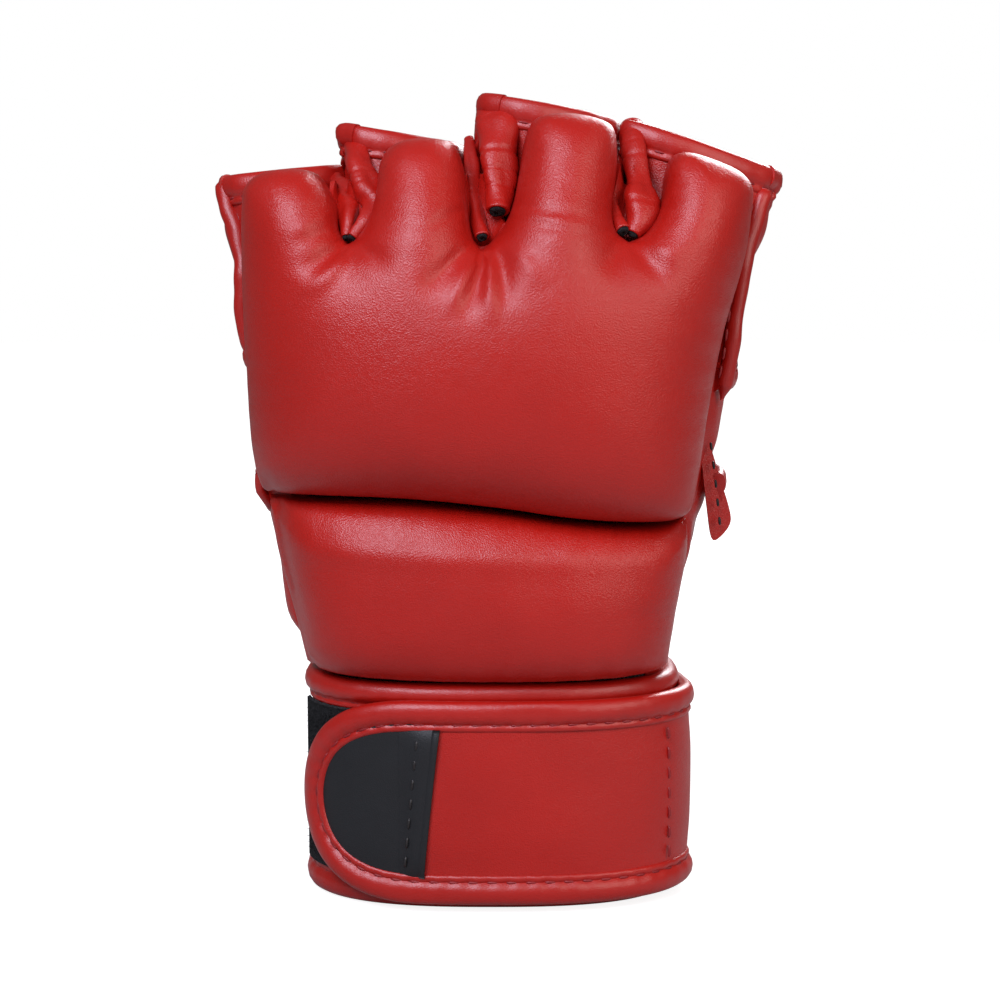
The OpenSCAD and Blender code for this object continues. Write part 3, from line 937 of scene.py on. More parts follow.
def back_outline():
    """The edge of the lower back pad, in x and z."""
    crease = curve([(x * 0.985, z - 1.0) for x, z in CREASE_LEFT], 40)
    low = CUFF_H + 1.0
    parts = [
        curve([(-45.5, low), (-30, low - 0.6), (0, low - 1.0), (30, low - 0.6), (43.0, low + 0.4)], 30),
        curve([(43.0, low + 0.4), (45.0, 70), (47.4, 84), (47.2, 92.6)], 20),
        crease[::-1],
        curve([(-54.5, 97.6), (-52.4, 84), (-48.8, 70), (-45.5, low)], 20),
    ]
    return np.concatenate([p[:-1] for p in parts])


def pad_base(p):
    """The hand's back under the pads, carried on up behind the finger pads."""
    x, z = p[:, 0], p[:, 1]
    y = back_y(x, np.clip(z, CUFF_H, WEB_Z))
    y = mix(y, -10.5, step(z, WEB_Z - 2, WEB_Z + 26))
    return np.stack([x, y, z], -1)


# folds on the knuckle pad as (x0, z0, x1, z1, width, height): a ridge from one point to another
FOLDS = (
    (-7.5, 155.5, -15.5, 146.5, 1.9, -1.3), (-3.8, 155, -9.6, 142.5, 1.5, 1.15),
    (-1.9, 154.5, -4.6, 141, 1.5, -1.35), (0.2, 154.5, -0.9, 140, 1.4, 1.2),
    (2.8, 155, 3.4, 143.5, 1.8, -1.1), (6.5, 156, 10.5, 148, 2.2, 0.7),
    (-34.6, 157, -43.5, 151.3, 1.7, -1.5), (-34.2, 154, -44, 147.3, 2.6, 1.0),
    (-29.6, 156.8, -22, 152.8, 1.8, -0.8), (29.5, 156.5, 23.5, 152.0, 2.2, -0.8),
    (33.6, 156, 40.2, 149.2, 1.9, -0.9), (36.5, 158.5, 43.5, 153.5, 2.4, 0.8),
    (8, 166.2, 24, 163.4, 0.8, -0.45), (9, 164.3, 24.5, 161.3, 0.8, 0.4),
    (10, 162.6, 24, 159.8, 0.9, -0.45), (-8.5, 165.5, -15.5, 160.2, 0.8, -0.4),
    (-9, 167.5, -17, 163.0, 0.7, 0.35), (-38.5, 161, -46, 156.5, 1.0, -0.45),
    (-40, 163.5, -48.5, 160, 0.9, 0.35),
)


def folds(p, rows=FOLDS):
    """Height of the creases where the leather is pulled in, at points given as x and z."""
    shape, p = p.shape[:-1], p.reshape(-1, 2)
    total = np.zeros(len(p))
    for x0, z0, x1, z1, width, height in rows:
        a, ab = np.array([x0, z0]), np.array([x1 - x0, z1 - z0])
        bend = 1.1 * wander(p, 12, int(abs(x0 * 10)))
        t = (p - a) @ ab / (ab @ ab)
        gap = ((p - a) @ np.array([-ab[1], ab[0]])) / np.linalg.norm(ab) + bend * np.clip(t, 0, 1)
        wide = width * (0.75 + 0.6 * np.clip(t, 0, 1))
        total += height * np.exp(-((gap / wide) ** 2)) * step(t, -0.25, 0.12) * (1 - step(t, 0.35, 1.15))
    return total.reshape(shape)


def puckers(p, outline, seed, pitch, depth, reach):
    """Small folds at right angles to a sewn edge."""
    border = resample([outline], 1.0, True)[0]
    d = np.linalg.norm(p[:, None] - border, axis=-1)
    nearest = d.argmin(1)
    s = lengths(border, True)[nearest]
    wave = np.sin(s * 2 * math.pi / pitch + 2.5 * wander(border, 25, seed)[nearest])
    lively = 0.5 + 0.5 * wander(border, 40, seed + 1)[nearest]
    near = d.min(1)
    return depth * wave * lively * np.exp(-near / reach) * (1 - np.exp(-near / 1.5))


def raise_pad(flat, outline, round_mm, overhang):
    """Lifts flat points off the base into a stuffed shape that meets it at the outline."""
    d, away = edge_distance(flat, outline)
    soft = np.where(d < 0.8, d, soft_distance(flat, outline))
    soft = mix(d, soft, step(d, 0.3, 2.5))
    crown = np.sqrt(1 - np.exp(-2.0 * soft / round_mm))
    bulge = overhang * np.exp(-((crown - 0.55) / 0.25) ** 2)
    moved = flat - away * bulge[:, None]
    return moved, crown


def knuckle_pad():
    """The knuckle pad and the finger pads, one skin that is cut at the webs."""
    outline = knuckle_outline()
    spacing = 1.35
    left = (-59.3, WEB_Z + 0.5)
    right = (61.2, WEB_Z + 0.5)
    ends = [left, *(tuple(w) for w in WEBS), right]
    cuts = [list(pair) for pair in zip(ends[:-1], ends[1:])]
    flat, tris = flat_mesh(outline, spacing, cuts)
    moved, crown = raise_pad(flat, outline, 15.0, 1.3)
    base = pad_base(flat)
    x, z = flat[:, 0], flat[:, 1]
    thick = PAD_T * (1 - 0.10 * (np.abs(x) / 62) ** 2)
    h = thick * crown
    soft = wander(base, 34, 31) * 0.8 + wander(base, 12, 33) * 0.16
    h = h + soft * crown**2
    top = np.stack([moved[:, 0], base[:, 1] - 0.9 - h, moved[:, 1]], -1)
    web = np.min([np.hypot(x - wx, (z - wz + 3) * 0.8) for wx, wz in WEBS], axis=0)
    edge = edge_distance(flat, outline)[0]
    hold = mix(1.0, 0.2, step(np.minimum(edge, web), 0.8, 3.0))
    ease = np.exp(-((web / 13) ** 2)) + 0.45 * np.exp(-edge / 4) + 0.25 * step(z, WEB_Z - 4, WEB_Z + 4)
    top = settle(top, tris, hold, ease)
    top[:, 1] -= 1.15 * folds(flat) * step(crown, 0.1, 0.6) + puckers(flat, outline, 41, 7.5, 0.45, 5.0)
    tris, normals = facing(top, tris, -1)
    centre = flat[tris].mean(1)
    line = np.interp(centre[:, 0], [left[0], *WEBS[:, 0], right[0]], [left[1], *WEBS[:, 1], right[1]])
    finger = np.where(centre[:, 1] > line, np.searchsorted(WEBS[:, 0], centre[:, 0]), -1)
    under = base - [0, 0.2, 0]
    main = shell_piece("knuckle_pad", top, under, tris[finger < 0], normals, LEATHER)
    HAND.put(main, stands_for=("knuckle_cover", "knuckle_foam"))
    for k, name in enumerate(FINGER_NAMES):
        lobe = shell_piece(f"{name}_pad", top, under, tris[finger == k], normals, LEATHER)
        FINGER[name].put(lobe, stands_for=(f"{name}_cover", f"{name}_foam"))


def back_pad():
    outline = back_outline()
    flat, tris = flat_mesh(outline, 1.4)
    moved, crown = raise_pad(flat, outline, 13.0, 0.9)
    base = pad_base(flat)
    h = BACK_T * crown
    h = h + (wander(base, 30, 51) * 0.7 + wander(base, 11, 52) * 0.22) * crown**2
    h = h + puckers(flat, outline, 61, 8.0, 0.5, 5.0)
    h = h + 0.8 * np.exp(-((flat[:, 1] - 86 + 0.03 * flat[:, 0]) / 3.0) ** 2) * crown
    top = np.stack([moved[:, 0], base[:, 1] - 0.9 - h, moved[:, 1]], -1)
    edge = edge_distance(flat, outline)[0]
    top = settle(top, tris, mix(1.0, 0.55, step(edge, 0.8, 3.0)), 0.45 * np.exp(-edge / 5))
    tris, normals = facing(top, tris, -1)
    HAND.put(shell_piece("back_pad", top, base - [0, 0.2, 0], tris, normals, LEATHER),
             stands_for=("back_cover", "back_foam"))


def back_knit():
    """The lining of the back, seen through the open palm."""
    a = np.linspace(-86, 86, 70)[:, None]
    z = np.linspace(CUFF_H + 2, WEB_Z - 1, 50)[None, :]
    grid = on_hand(a, z, -1.6)
    ridge = 1.6 * np.exp(-((z - CREASE_Z) / 2.5) ** 2) + 0.4 * wander(grid, 22, 71)
    HAND.put(leather_sheet("back_knit", swelled(grid, -ridge), KNIT, 0.9)[0], stands_for=("back_lining",))


# ------------------------------------------------------------------ sides and palm

def side_panel(name, a0, a1, node, seed, off):
    """A creased side panel between two angles round the hand."""
    a = np.linspace(a0, a1, 50)[:, None]
    z = np.linspace(CUFF_H - 3, WEB_Z + 1, 110)[None, :]
    grid = on_hand(a, np.maximum(z, CUFF_H), off)
    grid[..., 2] = z
    across = np.sin(np.pi * np.linspace(0, 1, 50))[:, None]
    soft = 1.1 * wander(grid * [1, 1, 0.5], 8, seed) + 0.5 * wander(grid, 5, seed + 1)
    grid = swelled(grid, np.maximum(soft, -0.45) * across - 1.2)
    HAND.put(leather_sheet(name, grid, LEATHER, 1.2)[0], stands_for=(node,))


CORNER_X = 42.5


def band_low(x):
    return WEB_Z - 20 - 12 * (x / 60) ** 2 - 2.3 * x / 60


def band_top(x):
    return WEB_Z + table(x, [(-CORNER_X, -11.4), (-41.6, -12.9), (-39.5, -13.6), (-36, -12.7), (-24.6, -8.4),
                             (-10, -5.2), (0, -4.4), (10, -4.6), (24.5, -7.6), (36, -10.8), (39.5, -11.6),
                             (41.6, -11.0), (CORNER_X, -9.4)])


SIDE_SEAMS = {
    "index": [
        (66.2, -3.0, 171.5), (63.6, -5.5, 164), (60.9, -8.5, 154), (59.2, -10, 142), (57.2, -10.5, 130),
        (55.6, -9.5, 121)
    ],
    "pinky": [
        (-64.9, -1.5, 173.5), (-64.0, -3.5, 168), (-61.4, -6.5, 160), (-59.8, -9, 150), (-59.6, -9, 140),
        (-58.9, -8, 130)
    ],
}


def side_seams():
    """The rolled seams that run down both sides of the hand from the outer fingers' rims."""
    q = circle(20)
    for name, points in SIDE_SEAMS.items():
        path = curve(points, 110)
        sign, share = np.sign(points[0][0]), np.linspace(0, 1, 110)
        path = path + sign * (0.35 * wander(path, 9, len(points)))[:, None] * [1, 0, 0]
        _, side, front = path_frame(path)
        r = 2.3 * (1 - 0.2 * share) * step(share, -0.08, 0.05) * (1 - 0.75 * step(share, 0.9, 1.0))
        r = r * (1 + 0.13 * wander(path * [1, 1, 0.6], 5, 77 + len(points)))
        rows = path[:, None] + r[:, None, None] * (side[:, None] * np.cos(q)[None, :, None]
                                                   + 0.85 * front[:, None] * np.sin(q)[None, :, None])
        rows = rows + 0.12 * wander(rows, 3.5, 78)[..., None]
        line = path + np.array([-1.9 * sign, -1.3, 0])
        seam = stitches(f"{name}_side_stitches", line[8:-12], 0 * line[8:-12] + [0, -1, 0], RED_THREAD)
        FINGER[name].put(closed_tube(f"{name}_side_seam", rows, TAPE), seam)


def palm_band():
    """The band across the palm below the fingers."""
    a = np.linspace(66, 294, 180)[:, None]
    t = np.linspace(0, 1, 26)[None, :]
    x = on_hand(a, WEB_Z - 20 + 0 * a)[..., 0]
    x = np.where(np.cos(np.radians(a)) > 0, np.sign(x) * 61.5, x)
    z = mix(band_low(x), band_top(x), t)
    outer = on_hand(a + 0 * t, z, mix(0.6, 1.6, step(np.cos(np.radians(a)), 0.35, 0.0)))
    walled = step(np.abs(x), CORNER_X - 6, CORNER_X)
    free = mix(np.sin(np.pi * t), np.sin(np.pi * t) ** 2, walled)
    swell = (0.8 + 0.35 * wander(outer, 16, 81)) * free
    side = step(np.abs(x), 52, 60)
    swell = swell + side * 0.9 * wander(outer * [1, 1, 0.6], 8, 82) * free
    outer = swelled(outer, swell)
    piece, normals = leather_sheet("palm_band_leather", outer, LEATHER)
    HAND.put(piece, stands_for=("palm_band",))
    HAND.put(*taped_edge("palm_band_low_tape", outer[:, ::-1], normals[:, ::-1], SKIN),
             stands_for=("palm_band_low_binding",))
    middle = (np.abs(x[:, 0]) < CORNER_X - 0.5) & (np.cos(np.radians(a[:, 0])) < 0)
    band_top_tape(outer[middle, -1], normals[middle, -1])


def smooth_line(line, rounds):
    """A line with its inner points averaged with their neighbours."""
    for _ in range(rounds):
        line[1:-1] = (line[:-2] + 2 * line[1:-1] + line[2:]) / 4
    return line


def band_top_tape(edge, face):
    """One run of tape: down the index finger's wall, along the band's top and up the pinky's wall."""
    index, pinky = finger_wall("index", 1, 310), finger_wall("pinky", -1, 300)
    runs = [(index[0][::-1], index[1][::-1]), (edge, face), pinky]
    edge, face = (np.concatenate([r[k] for r in runs]) for k in (0, 1))
    edge, face = resample([edge, face], 1.2)
    edge, face = smooth_line(edge, 3), unit(smooth_line(face, 8))
    outward = np.cross(unit(np.gradient(edge, axis=0)), face)
    outward = outward * np.sign(outward[len(outward) // 2, 2])
    ring, edge, outward, face, _ = tape_rings(edge - face * SKIN / 2, outward, face, False, 1.0, 1.0)
    line = edge - outward * GROOVE_AT + face * 0.80
    first = int(np.argmax((edge[:, 0] < CORNER_X - 3) & (edge[:, 2] < WEB_Z - 10.5)))
    last = len(edge) - 1 - int(np.argmax(((edge[:, 0] > 3 - CORNER_X) & (edge[:, 2] < WEB_Z - 10.5))[::-1]))
    spans = (("index_wall_tape", 0, first, FINGER["index"], ()),
             ("palm_band_top_tape", first, last, HAND, ("palm_band_top_binding",)),
             ("pinky_wall_tape", last, len(edge) - 1, FINGER["pinky"], ()))
    put_spans(spans, ring, line, face)


WRAP_TOP = [
    (-61, CUFF_H + 50), (-52, CUFF_H + 43), (-37, CUFF_H + 33.5), (-22, CUFF_H + 24.5), (-7, CUFF_H + 16),
    (8, CUFF_H + 10), (22, CUFF_H + 6.2), (35, CUFF_H + 4), (47, CUFF_H + 3),
]


def wrap_panel():
    """The panel that wraps over the heel of the palm."""
    a = np.linspace(138, 296, 130)[:, None]
    t = np.linspace(0, 1, 40)[None, :]
    x = on_hand(a, CUFF_H + 30 + 0 * a, 4)[..., 0]
    x = np.where(np.cos(np.radians(a)) > 0, -61, x)
    z = mix(CUFF_H - 3, table(x, WRAP_TOP), t)
    outer = on_hand(a + 0 * t, np.maximum(z, CUFF_H), mix(4.6, 1.0, step(a, 262, 292)))
    outer[..., 2] = z
    low = step(-z, -CUFF_H - 13, -CUFF_H - 0.5)[..., None]
    outer = mix(outer, on_cuff(a + 0 * t, z, -2.6), low)
    soft = wander(outer @ np.array([[0.8, 0, 0.5], [0, 1, 0], [-0.6, 0, 0.35]]), 15, 91)
    left = step(-x, 5, 40)
    free = np.sin(np.pi * t) ** 0.7
    pulled = folds(outer[..., ::2], WRAP_FOLDS) * free * (np.cos(np.radians(a)) < 0.2)
    outer = swelled(outer, (0.5 + 0.8 * left) * soft * free + 0.6 * free + pulled)
    piece, normals = leather_sheet("wrap_leather", outer, LEATHER)
    HAND.put(piece, stands_for=("wrap_panel",))
    HAND.put(*taped_edge("wrap_tape", outer, normals, SKIN), stands_for=("wrap_binding",))
    xs = np.concatenate([np.full(8, -30.0), np.linspace(-30, 12, 40)])
    zs = CUFF_H + np.concatenate([np.linspace(0.5, 6.0, 8), np.linspace(6.0, 3.2, 40)])
    line = snap_to(np.stack([xs, zs], -1), outer)
    HAND.put(stitches("wrap_box_stitches", line, line * [0, 1, 0], BLACK_THREAD, length=1.6))


def snap_to(xz, grid):
    """Points of a palm-side grid nearest to given x and z."""
    flat = grid.reshape(-1, 3)
    out = []
    for p in xz:
        d = np.hypot(flat[:, 0] - p[0], flat[:, 2] - p[1])
        near = np.argsort(d)[:4]
        w = 1 / (d[near] + 0.05)
        out.append([p[0], float((flat[near, 1] * w).sum() / w.sum()) + 0.25, p[1]])
    return np.array(out)


FLAP_EDGE = [
    (1.5, 62), (-3.6, 74), (-7.8, 87), (-10.4, 100), (-10.2, 113), (-2, 126.2), (9.5, 132.2), (20, 131.6),
    (29, 126), (43, 112), (52.0, 103),
]
FLAP_ROOT = [
    (8, 55), (12, 54), (16, 53.5), (24, 53), (34, 53), (42.0, 56), (44.0, 64), (45.9, 74), (48.2, 86),
    (50.8, 97),
]


# folds below the palm pad and at the wrap panel's pinky side, as in FOLDS
FLAP_FOLDS = (
    (-2, 69.5, 34, 82, 2.6, 1.4), (14, 72, 56, 88.5, 3.0, 1.3), (-3, 74.5, 24, 82.5, 1.9, -1.1),
    (18, 68, 54, 80.5, 2.8, -1.1), (26, 61, 50, 66, 1.8, -1.0), (30, 65, 54, 72, 2.4, 1.0),
)
WRAP_FOLDS = (
    (-35, 55, -55, 90, 1.8, -1.1), (-40, 54, -58, 84, 2.6, 1.2), (-46, 54, -60, 74, 1.6, -0.9),
    (-29, 55, -43, 80, 2.6, 0.7),
)


def thumb_flap():
    """The thumb flap and the palm leather below it. Returns its outer points."""
    n = 90
    edge, root = curve(FLAP_EDGE, n), curve(FLAP_ROOT, n)
    t = np.linspace(0, 1, 46)[None, :, None]
    flat = mix(root[:, None], edge[:, None], t)
    x, z = flat[..., 0], flat[..., 1]
    outer = on_palm(x, np.maximum(z, CUFF_H), 1.6)
    outer[..., 2] = z
    free = np.sin(np.pi * np.clip(t[..., 0], 0.04, 0.98)) ** 0.6
    pulled = folds(flat, FLAP_FOLDS) * step(free, 0.1, 0.8)
    outer = swelled(outer, 0.55 * wander(outer, 17, 101) * free + pulled)
    piece, normals = leather_sheet("thumb_leather", outer, LEATHER)
    FLAP.put(piece, stands_for=("thumb_panel", "flap"))
    FLAP.put(*taped_edge("flap_tape", outer, normals, SKIN), stands_for=("flap_binding",))
    return outer


SIDE_LEAF = [
    (51.9, 114), (54.0, 108), (56.2, 101), (58.2, 95), (58.9, 91), (57.4, 88.2), (54.8, 86.2), (53.7, 88),
    (52.8, 94), (51.9, 101), (51.2, 108),
]


def side_loop():
    """The flap's tape carried round the thumb side, and the leaf of leather where it is sewn in."""
    path = curve([(50.6, 10.0, 104), (54.6, 5.5, 103.5), (56.4, -0.5, 103), (55.6, -7.0, 102)], 40)
    face = unit(path * [1, 1, 0])
    outward = np.cross(unit(np.gradient(path, axis=0)), face)
    outward = outward * np.sign(outward[:, 2:])
    HAND.put(*tape("thumb_side_tape", path, outward, face, TAPE, False, 0.85, 1.0, (1,), BLACK_THREAD))
    outline = curve(SIDE_LEAF, 70, True)
    flat, tris = flat_mesh(outline, 0.9)
    moved, crown = raise_pad(flat, outline, 3.0, 0.3)
    base = np.stack([flat[:, 0], -7.4 + 0.3 * (flat[:, 0] - 52), flat[:, 1]], -1)
    lift = 2.2 * crown + 0.35 * wander(base * [1, 1, 0.5], 5, 141) * crown
    top = np.stack([moved[:, 0], base[:, 1] - lift, moved[:, 1]], -1)
    tris, normals = facing(top, tris, -1)
    HAND.put(shell_piece("thumb_side_leaf", top, base + [0, 1.4, 0], tris, normals, LEATHER))
    line = curve([(53.0, 112), (54.2, 104), (55.2, 96), (56.0, 89)], 30)
    line = np.stack([line[:, 0], -9.6 + 0.3 * (line[:, 0] - 52), line[:, 1]], -1)
    HAND.put(stitches("thumb_side_stitches", line, 0 * line + [0, -1, 0], BLACK_THREAD, length=2.0))


DOT_PITCH, DOT_L, DOT_R = 3.2, 1.3, 0.27  # the pad's small black stitches
PAD_SHAPE = [
    (-6.6, 112.0), (-5.6, 115.0), (-3, 117.0), (5, 121.8), (12.6, 126.0), (15.2, 126.4), (17.6, 124.8),
    (24, 114), (30.5, 102), (32.0, 96.5), (30.2, 89.5), (24.5, 84.6), (16.5, 82.0), (8.5, 83.6),
    (2.5, 88.6), (-2.6, 99),
]


def palm_pad(surface):
    """The small stitched pad on the thumb flap."""
    outline = curve(PAD_SHAPE[::-1], 90, True)
    if np.sum(outline[:, 0] * np.roll(outline[:, 1], -1) - np.roll(outline[:, 0], -1) * outline[:, 1]) < 0:
        outline = outline[::-1]
    flat, tris = flat_mesh(outline, 1.2)
    moved, crown = raise_pad(flat, outline, 2.9, 0.5)
    base = snap_to(flat, surface)
    h = 5.2 * crown + 0.25 * wander(base, 12, 111) * crown
    top = np.stack([moved[:, 0], base[:, 1] + 0.4 + h, moved[:, 1]], -1)
    edge = edge_distance(flat, outline)[0]
    top = settle(top, tris, mix(1.0, 0.6, step(edge, 0.6, 2.0)), 0 * edge, 4.0, 1.0)
    under = base - [0, 0.6, 0]
    tris, normals = facing(top, tris, 1)
    FLAP.put(shell_piece("palm_pad", top, under, tris, normals, LEATHER),
             stands_for=("palm_pad_cover", "palm_pad_foam"))
    ring = resample([outline], 1.0, True)[0]
    a, b = np.roll(ring, 1, 0), np.roll(ring, -1, 0)
    along = unit(b - a)
    ring = ring + np.stack([along[:, 1], -along[:, 0]], -1) * 0.7
    line = snap_to(ring, surface) + [0, 0.1, 0]
    count = round(lengths(line, True)[-1] / DOT_PITCH)
    FLAP.put(stitches("palm_pad_stitches", line, line * [0, 1, 0], BLACK_THREAD, True, count, DOT_L, DOT_R))


# ------------------------------------------------------------------ fingers

# foot and rim ovals as (centre x, half width, centre y, half depth), the rim's height over the web at the
# back and the palm, its rise towards +X, how pointed its sides are, and how far its +X side stands palmward
SLEEVES = {
    "pinky": ((-46.8, 12.8, -2.5, 12.0), (-50.6, 14.4, 1.0, 8.6), 16.5, 13.0, 1.6, 1.95, 2.5),
    "ring": ((-17.8, 14.2, 0.0, 16.5), (-21.2, 14.9, 0.5, 9.0), 25.0, 21.5, -2.2, 1.95, 3.5),
    "middle": ((14.6, 15.8, 0.5, 16.5), (14.4, 17.4, 2.0, 13.4), 31.5, 12.5, -2.8, 2.0, 3.5),
    "index": ((46.6, 13.2, -2.5, 12.0), (51.0, 19.2, 0.0, 8.8), 22.5, 18.5, -6.0, 1.95, 3.0),
}
# how steeply each rim climbs from its palm side to its back, and how much more its palm side slopes
RIMS = {
    "pinky": (-0.8, 0.3, -3.4),
    "ring": (-0.8, 0.3, 0.0),
    "middle": (-0.98, 0.35, 0.0),
    "index": (-0.8, 0.3, -1.5),
}
SLEEVE_FOOT = WEB_Z - 11


def tube(name, t, b, off=0.0):
    """Points of a finger sleeve: b = 0 is its palm side, 90 its +X side, t runs from foot to rim."""
    foot, rim, back, palm, rise, pointed, lean = SLEEVES[name]
    b = np.radians(b)
    p = 2 / mix(2.0, pointed, t)
    o = [mix(f, r, t) for f, r in zip(foot, rim)]
    sx, cy = power(np.sin(b), p), power(np.cos(b), p)
    x = o[0] + (o[1] + off) * sx
    y = o[2] + (o[3] + off) * cy + lean * t * sx
    low, high, slope = RIMS[name]
    climb = step(-np.cos(b), low, high)
    top = WEB_Z + mix(palm, back, climb) + (rise + slope * (1 - climb)) * np.sin(b)
    return np.stack([x, y, mix(SLEEVE_FOOT, top, t)], -1)


# where the rim's tape is lapped over itself, in degrees round each sleeve
CORNERS = {"pinky": (255, 294), "ring": (228, 264), "middle": (222, 264), "index": (78, 120)}


def sleeve(name, seed):
    """A finger's sleeve, with its rim tape and lining."""
    place = FINGER[name]
    b = np.linspace(0, 360, 121)[:-1][:, None]
    walled = name in WALL_EDGES
    t = np.linspace(0.42 if walled else 0.0, 1, 34)[None, :]
    outer = tube(name, t + 0 * b, b + 0 * t)
    normals = grid_normals(outer, True)
    if np.sum(normals * (outer - outer.mean((0, 1))) * [1, 1, 0]) < 0:
        normals = -normals
    side = np.abs(np.sin(np.radians(b)))
    free = np.sin(np.pi * np.clip(t, 0, 0.93)) ** 0.5
    ripples = 1.2 * np.sin(np.radians(b) * 9 + 2.0 * wander(outer, 22, seed)) * side**2
    dents = 0.8 * wander(outer * [1, 1, 0.8], 9, seed + 1)
    swell = (ripples + dents) * free * (0.35 + 0.65 * side) * (0.35 if walled else 0.8)
    outer = outer + normals * swell[..., None]
    inner = outer - normals * 1.1
    place.put(sheet(f"{name}_sleeve_leather", outer, inner, LEATHER, True), stands_for=(f"{name}_sleeve",))
    edge, out, face = outer[:, -1] - normals[:, -1] * 0.55, unit(outer[:, -1] - outer[:, -2]), normals[:, -1]
    pieces = tape(f"{name}_rim_tape", edge, out, face, TAPE, True, 0.85, 1.0, (1, -1), RED_THREAD)
    place.put(*pieces, stands_for=(f"{name}_rim_binding",))
    a0, a1 = CORNERS[name]
    corner = slice(int(a0 / 3), int(a1 / 3) + 1)
    over = edge[corner] + face[corner] * 0.05 + out[corner] * 0.35
    place.put(*tape(f"{name}_corner_tape", over, out[corner], face[corner], TAPE, False, 0.98, 1.08,
                    thread=RED_THREAD))
    lined = tube(name, np.linspace(0.04, 0.90, 34) + 0 * b, b + 0 * t, -1.9)
    place.put(sheet(f"{name}_knit", lined, lined - normals * 0.7, KNIT, True), stands_for=(f"{name}_lining",))
    if name in ("ring", "middle"):
        vent(name, outer)
    frays(name, seed)


# the inner edge of each outer finger's palm wall as (x, height over the web), from the band's corner up
WALL_EDGES = {
    "index": [
        (CORNER_X, -9.4), (41.8, -8.0), (40.2, -6.9), (37.4, -5.0), (33, -1.4), (29.2, 2.2), (27.6, 7),
        (30, 13), (32, 19)
    ],
    "pinky": [
        (-CORNER_X, -11.4), (-41.8, -10.0), (-40, -8.9), (-37, -6.6), (-33, -2.8), (-29.2, 1.4), (-28.4, 5),
        (-31.5, 8.5), (-35, 13)
    ],
}


def finger_wall(name, sign, seed):
    """The palm band's leather, carried on up as an outer finger's palm wall. Returns its inner edge."""
    n, m = 60, 44
    u, t = np.linspace(0, 1, n)[:, None], np.linspace(0, 1, m)[None, :]
    b = mix(-84, 112, u[:, 0])
    top = tube(name, np.full(n, 0.94), sign * b, 0.5)
    a0 = math.degrees(math.asin((CORNER_X / half_w(WEB_Z - 20)) ** (SQUARENESS / 2)))
    a = table(b, [(-84, 180 - a0), (90, 90), (112, 70)])
    side = np.minimum(np.abs(on_hand(a, WEB_Z - 20 + 0 * a)[:, 0]), 61.5)
    low = on_hand(a if sign > 0 else 360 - a, band_top(sign * side), 1.6)
    grid = mix(low[:, None], top[:, None], t[..., None])
    grid[..., 0] = mix(low[:, None, 0], top[:, None, 0], t**1.4)
    flat = curve([(x, 0, WEB_Z + z) for x, z in WALL_EDGES[name]], m)
    shift = (flat - grid[0]) * [1, 0, 1]
    grid = grid + shift[None] * ((1 - u) ** 2.2)[..., None]
    late = mix(0.5, -0.1, np.minimum(u * 1.6, 1))
    grid[..., 1] = mix(low[:, None, 1] + 1.6 * (1 - u), top[:, None, 1], step(t - late, 0, 1.1 - late))
    grid[:, 0] = low
    normals = grid_normals(grid)
    if normals[..., 1].mean() < 0:
        normals = -normals
    free = np.sin(np.pi * t) ** 2
    folds = (1.0 * wander(grid * [1, 1, 0.8], 10, seed) + 1.3 + 0.6 * np.sin(np.pi * u)) * free
    grid = grid + normals * folds[..., None]
    FINGER[name].put(sheet(f"{name}_wall", grid, grid - normals * 1.2, LEATHER))
    vent(name, grid)
    return grid[0], normals[0]


def roll(name, path, radii, seed, raw=1.0):
    """A rolled strip of leather in a web, creased across, with a raw black end at its foot."""
    n = 90
    line = curve(path, n)
    share = np.linspace(0, 1, n)
    r = curve([(v, 0) for v in radii], n)[:, 0]
    s = lengths(line)
    crease = step(np.sin(s * 2 * math.pi / 6.4 + 4 * wander(line, 9, seed + 2)), 0.55, 1.0)
    r = r * (1 - 0.06 * crease * np.sin(np.pi * share) ** 0.5)
    along, side, front = path_frame(line)
    q = circle(28)
    spokes = np.stack([np.cos(q), np.sin(q), 0 * q], -1)
    rough = 1 + 0.13 * wander(line[:, None] * [1, 1, 0.45] + spokes * 2.4, 4.5, seed)
    twist = (3.4 * share + seed)[:, None]
    lobes = 0.13 * np.cos(2 * (q - twist)) + 0.11 * np.cos(3 * q + 1.7 * twist)
    rough = rough + np.sin(np.pi * share)[:, None] ** 0.7 * lobes
    ring = (line[:, None] + side[:, None] * (np.cos(q) * r[:, None] * rough)[..., None]
            + front[:, None] * (np.sin(q) * r[:, None] * 0.8 * rough)[..., None])
    end, axis = line[-1], along[-1]
    lip = mix(ring[-1], end, 0.16) + axis * 0.25
    turned_in = [lip, mix(ring[-1], end, 0.36), mix(ring[-1], end, 0.42) - axis]
    rows = np.concatenate([ring, np.stack(turned_in)])
    skin = closed_tube(name, rows, LEATHER)
    core = np.stack([mix(ring[-1], end, f) + axis * lift * raw for f, lift in
                     ((0.34, -0.9), (0.30, 0.15), (0.33, 0.7), (0.5, 0.9), (0.85, 0.8))])
    core = core + 0.14 * wander(core, 1.2, seed + 1)[..., None]
    return skin, closed_tube(name + "_raw_end", core, LOOP)


